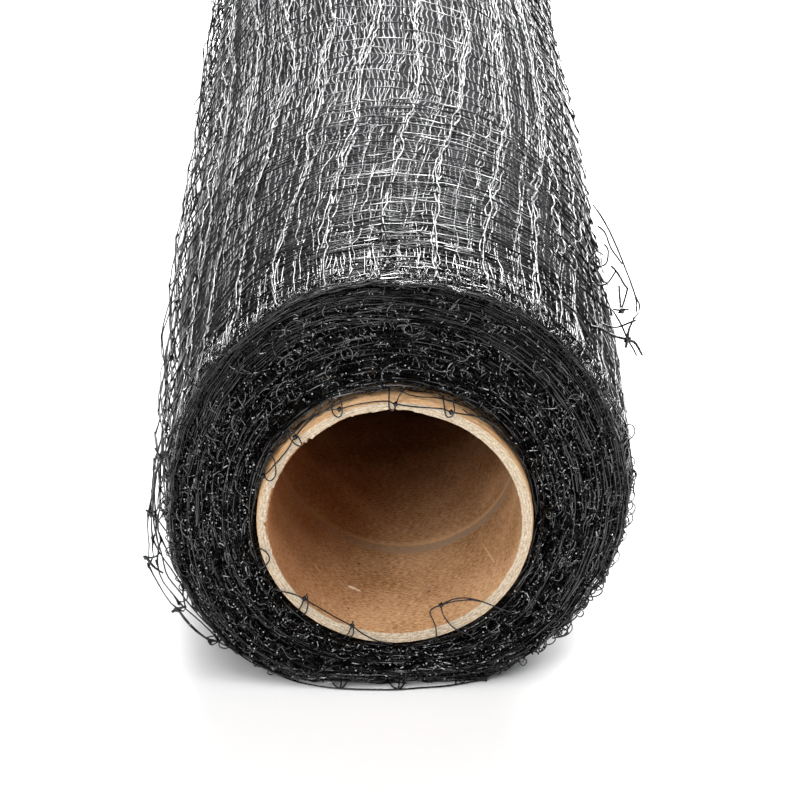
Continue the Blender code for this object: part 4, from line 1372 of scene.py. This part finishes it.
rim_strands = [  # points, steps
    (((-41, 17.9, 1), (-38.6, 17.1, -0.8), (-34.7, 21.4, -0.8), (-31.2, 26, -0.8), (-29.1, 30, -0.9),
      (-24.3, 35.7, -0.7), (-20.3, 38.3, -0.7), (-16.2, 39, -0.9), (-10.4, 40.5, -0.7),
      (-2.9, 41.4, -0.7), (0.1, 40.5, -0.9), (4.9, 39.6, -0.7), (10.1, 39.1, -0.7), (13.7, 38.8, -0.8),
      (16.2, 37.8, -0.9), (19.5, 37, -0.7), (25.3, 35.7, -0.7), (29, 33, 0), (31.3, 29.8, 1.5)), 72),
    (((-38.6, 17.2, -0.9), (-36.9, 15.8, -1.4), (-35.4, 16.9, -1.6), (-34.8, 18.8, -1.5),
      (-35.2, 22.6, -1.2), (-36.3, 24.1, -0.8), (-37, 25.4, 1)), 16),
    (((-31.1, 31.3, -0.2), (-28.8, 31, -1), (-27.2, 28.3, -1.5), (-27.6, 27.3, -1.5),
      (-29.4, 28.2, -1.3), (-31, 30.3, -0.8), (-31.4, 31.5, 0)), 16),
    (((-18.3, 42, 1), (-18.2, 38.3, -0.8), (-16.8, 36.6, -1.3), (-15.5, 37.3, -1.4),
      (-15.3, 39.8, -1.1), (-15.9, 41.8, 0)), 14),
    (((-1.6, 44.4, 2), (-1.8, 40.2, -0.8), (-1.3, 38.7, -1.2), (-0.3, 38.8, -1.3), (0.3, 40.6, -1),
      (1.4, 43, 0), (3.2, 44.2, 2)), 16),
    (((13.9, 41.4, 2), (14.6, 37, -0.9), (15.6, 36.3, -1.2), (16.6, 36.8, -1.2), (17.2, 38.5, -1),
      (16.5, 41.4, 0), (15.2, 41.7, 1)), 16),
    (((-41.3, -7.7, 1), (-38.6, -8, -0.9), (-37.3, -9.9, -1.2), (-37.6, -11.6, -1.2),
      (-39, -13.4, -0.8), (-40.9, -15.6, 1)), 14),
    (((-36.8, -21.8, 1), (-34.1, -22, -0.6), (-30.5, -22.8, -0.9), (-27.3, -24.4, -1.2),
      (-22.2, -27.9, -1.2), (-18.1, -30.8, -1.2), (-13.1, -33.9, -1.2), (-9.7, -36.9, -1),
      (-6.1, -39.2, -0.8), (-3.1, -40.2, -0.6), (-0.4, -41.9, 1)), 40),
    (((-27.3, -24.4, -1.2), (-26.2, -22.1, -2.2)), 4),
    (((-27.3, -24.4, -1.2), (-28.1, -26.8, -1.2), (-29.2, -29.7, 0.6)), 8),
    (((-26.3, -23, -1.8), (-26.1, -25.9, -1.6), (-26.7, -29.3, -0.6), (-28.3, -31.7, 1)), 10),
    (((-13.1, -33.9, -1.2), (-12.6, -31.7, -2.2)), 4),
    (((-13.3, -34.3, -1.2), (-14.2, -36.7, -1.2), (-16, -39.8, 0.6)), 8),
    (((-12.7, -33, -1.6), (-12.6, -36.6, -1.4), (-14.5, -40, 0.6)), 8),
    (((12, -41.5, 1), (12.3, -37.9, -0.9), (12.2, -34.7, -1.5), (11.3, -31.5, -2.2), (10.4, -29, -2.8),
      (10.9, -26.9, -3.4), (13.6, -25.3, -3.8), (16.3, -23.5, -4.2), (19.2, -22.6, -4.4),
      (22.2, -22.9, -4.2), (25.2, -24.1, -3.6), (28.3, -26, -2.6), (32, -28.4, -1.2), (35.1, -30.3, 0)), 44),
    (((13.6, -25.3, -3.8), (17.5, -24.1, -3.8), (22.2, -23.6, -3.8), (25.3, -24.4, -3.4)), 12),
    (((13.6, -25.4, -3.6), (14.1, -28.6, -3), (15.5, -31.8, -2.2), (17.6, -34.8, -1.4),
      (20.4, -36.8, -0.8), (22.5, -37.9, -0.2), (23.4, -39.9, 0.6)), 20),
]
rim_parts = [strand_through(points, 0.23, steps) for points, steps in rim_strands]
# one strand has dropped in front of the roll and lies on the table, with two small black knots
floor_strand = np.array([
    (-46.4, 20.7), (-40, 13), (-32.1, 6), (-24.4, 2.5), (-16.8, 0.7), (-7.7, 0), (0.8, -0.1),
    (9.1, 0.9), (16.7, 1.9), (27.2, 5.2),
])
floor_strand = np.insert(floor_strand, 1, 0.5 - core_centre.z / MM, axis=1)
rim_parts.append(strand_through(floor_strand, 0.26, steps=60))
for x, z, y in floor_strand[[4, 6]]:
    for reach, rise, back in ((-2.6, 1.0, 2.2), (2.2, 1.2, 2.0), (0.6, 2.6, 3.2)):
        bend = (x + 0.5 * reach, z + 0.3 * rise, y + 0.3 * back)
        arm = [(x, z + 0.1, y), bend, (x + reach, z + rise, y + back)]
        rim_parts.append(strand_through(arm, 0.34, steps=6, taper=0.6))
hanging_knots = [
    (-38.6, 17.2, -0.9), (-29.1, 30, -1), (-16.1, 39.1, -1.1), (0.1, 40.6, -1.1), (16.2, 37.9, -1.1),
    (-27.2, -24.2, -1.3), (-13, -33.7, -1.3), (13.6, -25.2, -3.9), (-36.3, 24.6, -0.5),
]
rim_parts.append(rim_knots(hanging_knots, (0.1, -1.0, 0.4), (1.0, 0.9, 0.5)))
# more slack strands circle the core just behind its rim
HUG_COUNT, HUG_STEPS = 12, 24
slack_rng = np.random.default_rng(53)
rounds = each(slack_rng, HUG_COUNT, 0, math.tau) + np.linspace(0, 1.1, HUG_STEPS)
hug = CORE_RADIUS + 0.5 * MM + np.abs(wander(slack_rng, HUG_COUNT, HUG_STEPS, 0.8 * MM, 4))
hug_y = rim_y + 3.8 * MM + wander(slack_rng, HUG_COUNT, HUG_STEPS, 1.3 * MM, 5)
hug_x = core_centre.x + hug * np.cos(rounds)
hug_z = core_centre.z + hug * np.sin(rounds)
hugging = np.stack([hug_x, hug_y, hug_z], axis=-1)
rim_parts.append(tubes(hugging, 0.24 * MM))
show("strands_over_the_rim", fill_mesh("strands over the rim", *join(rim_parts)), [slack_net])
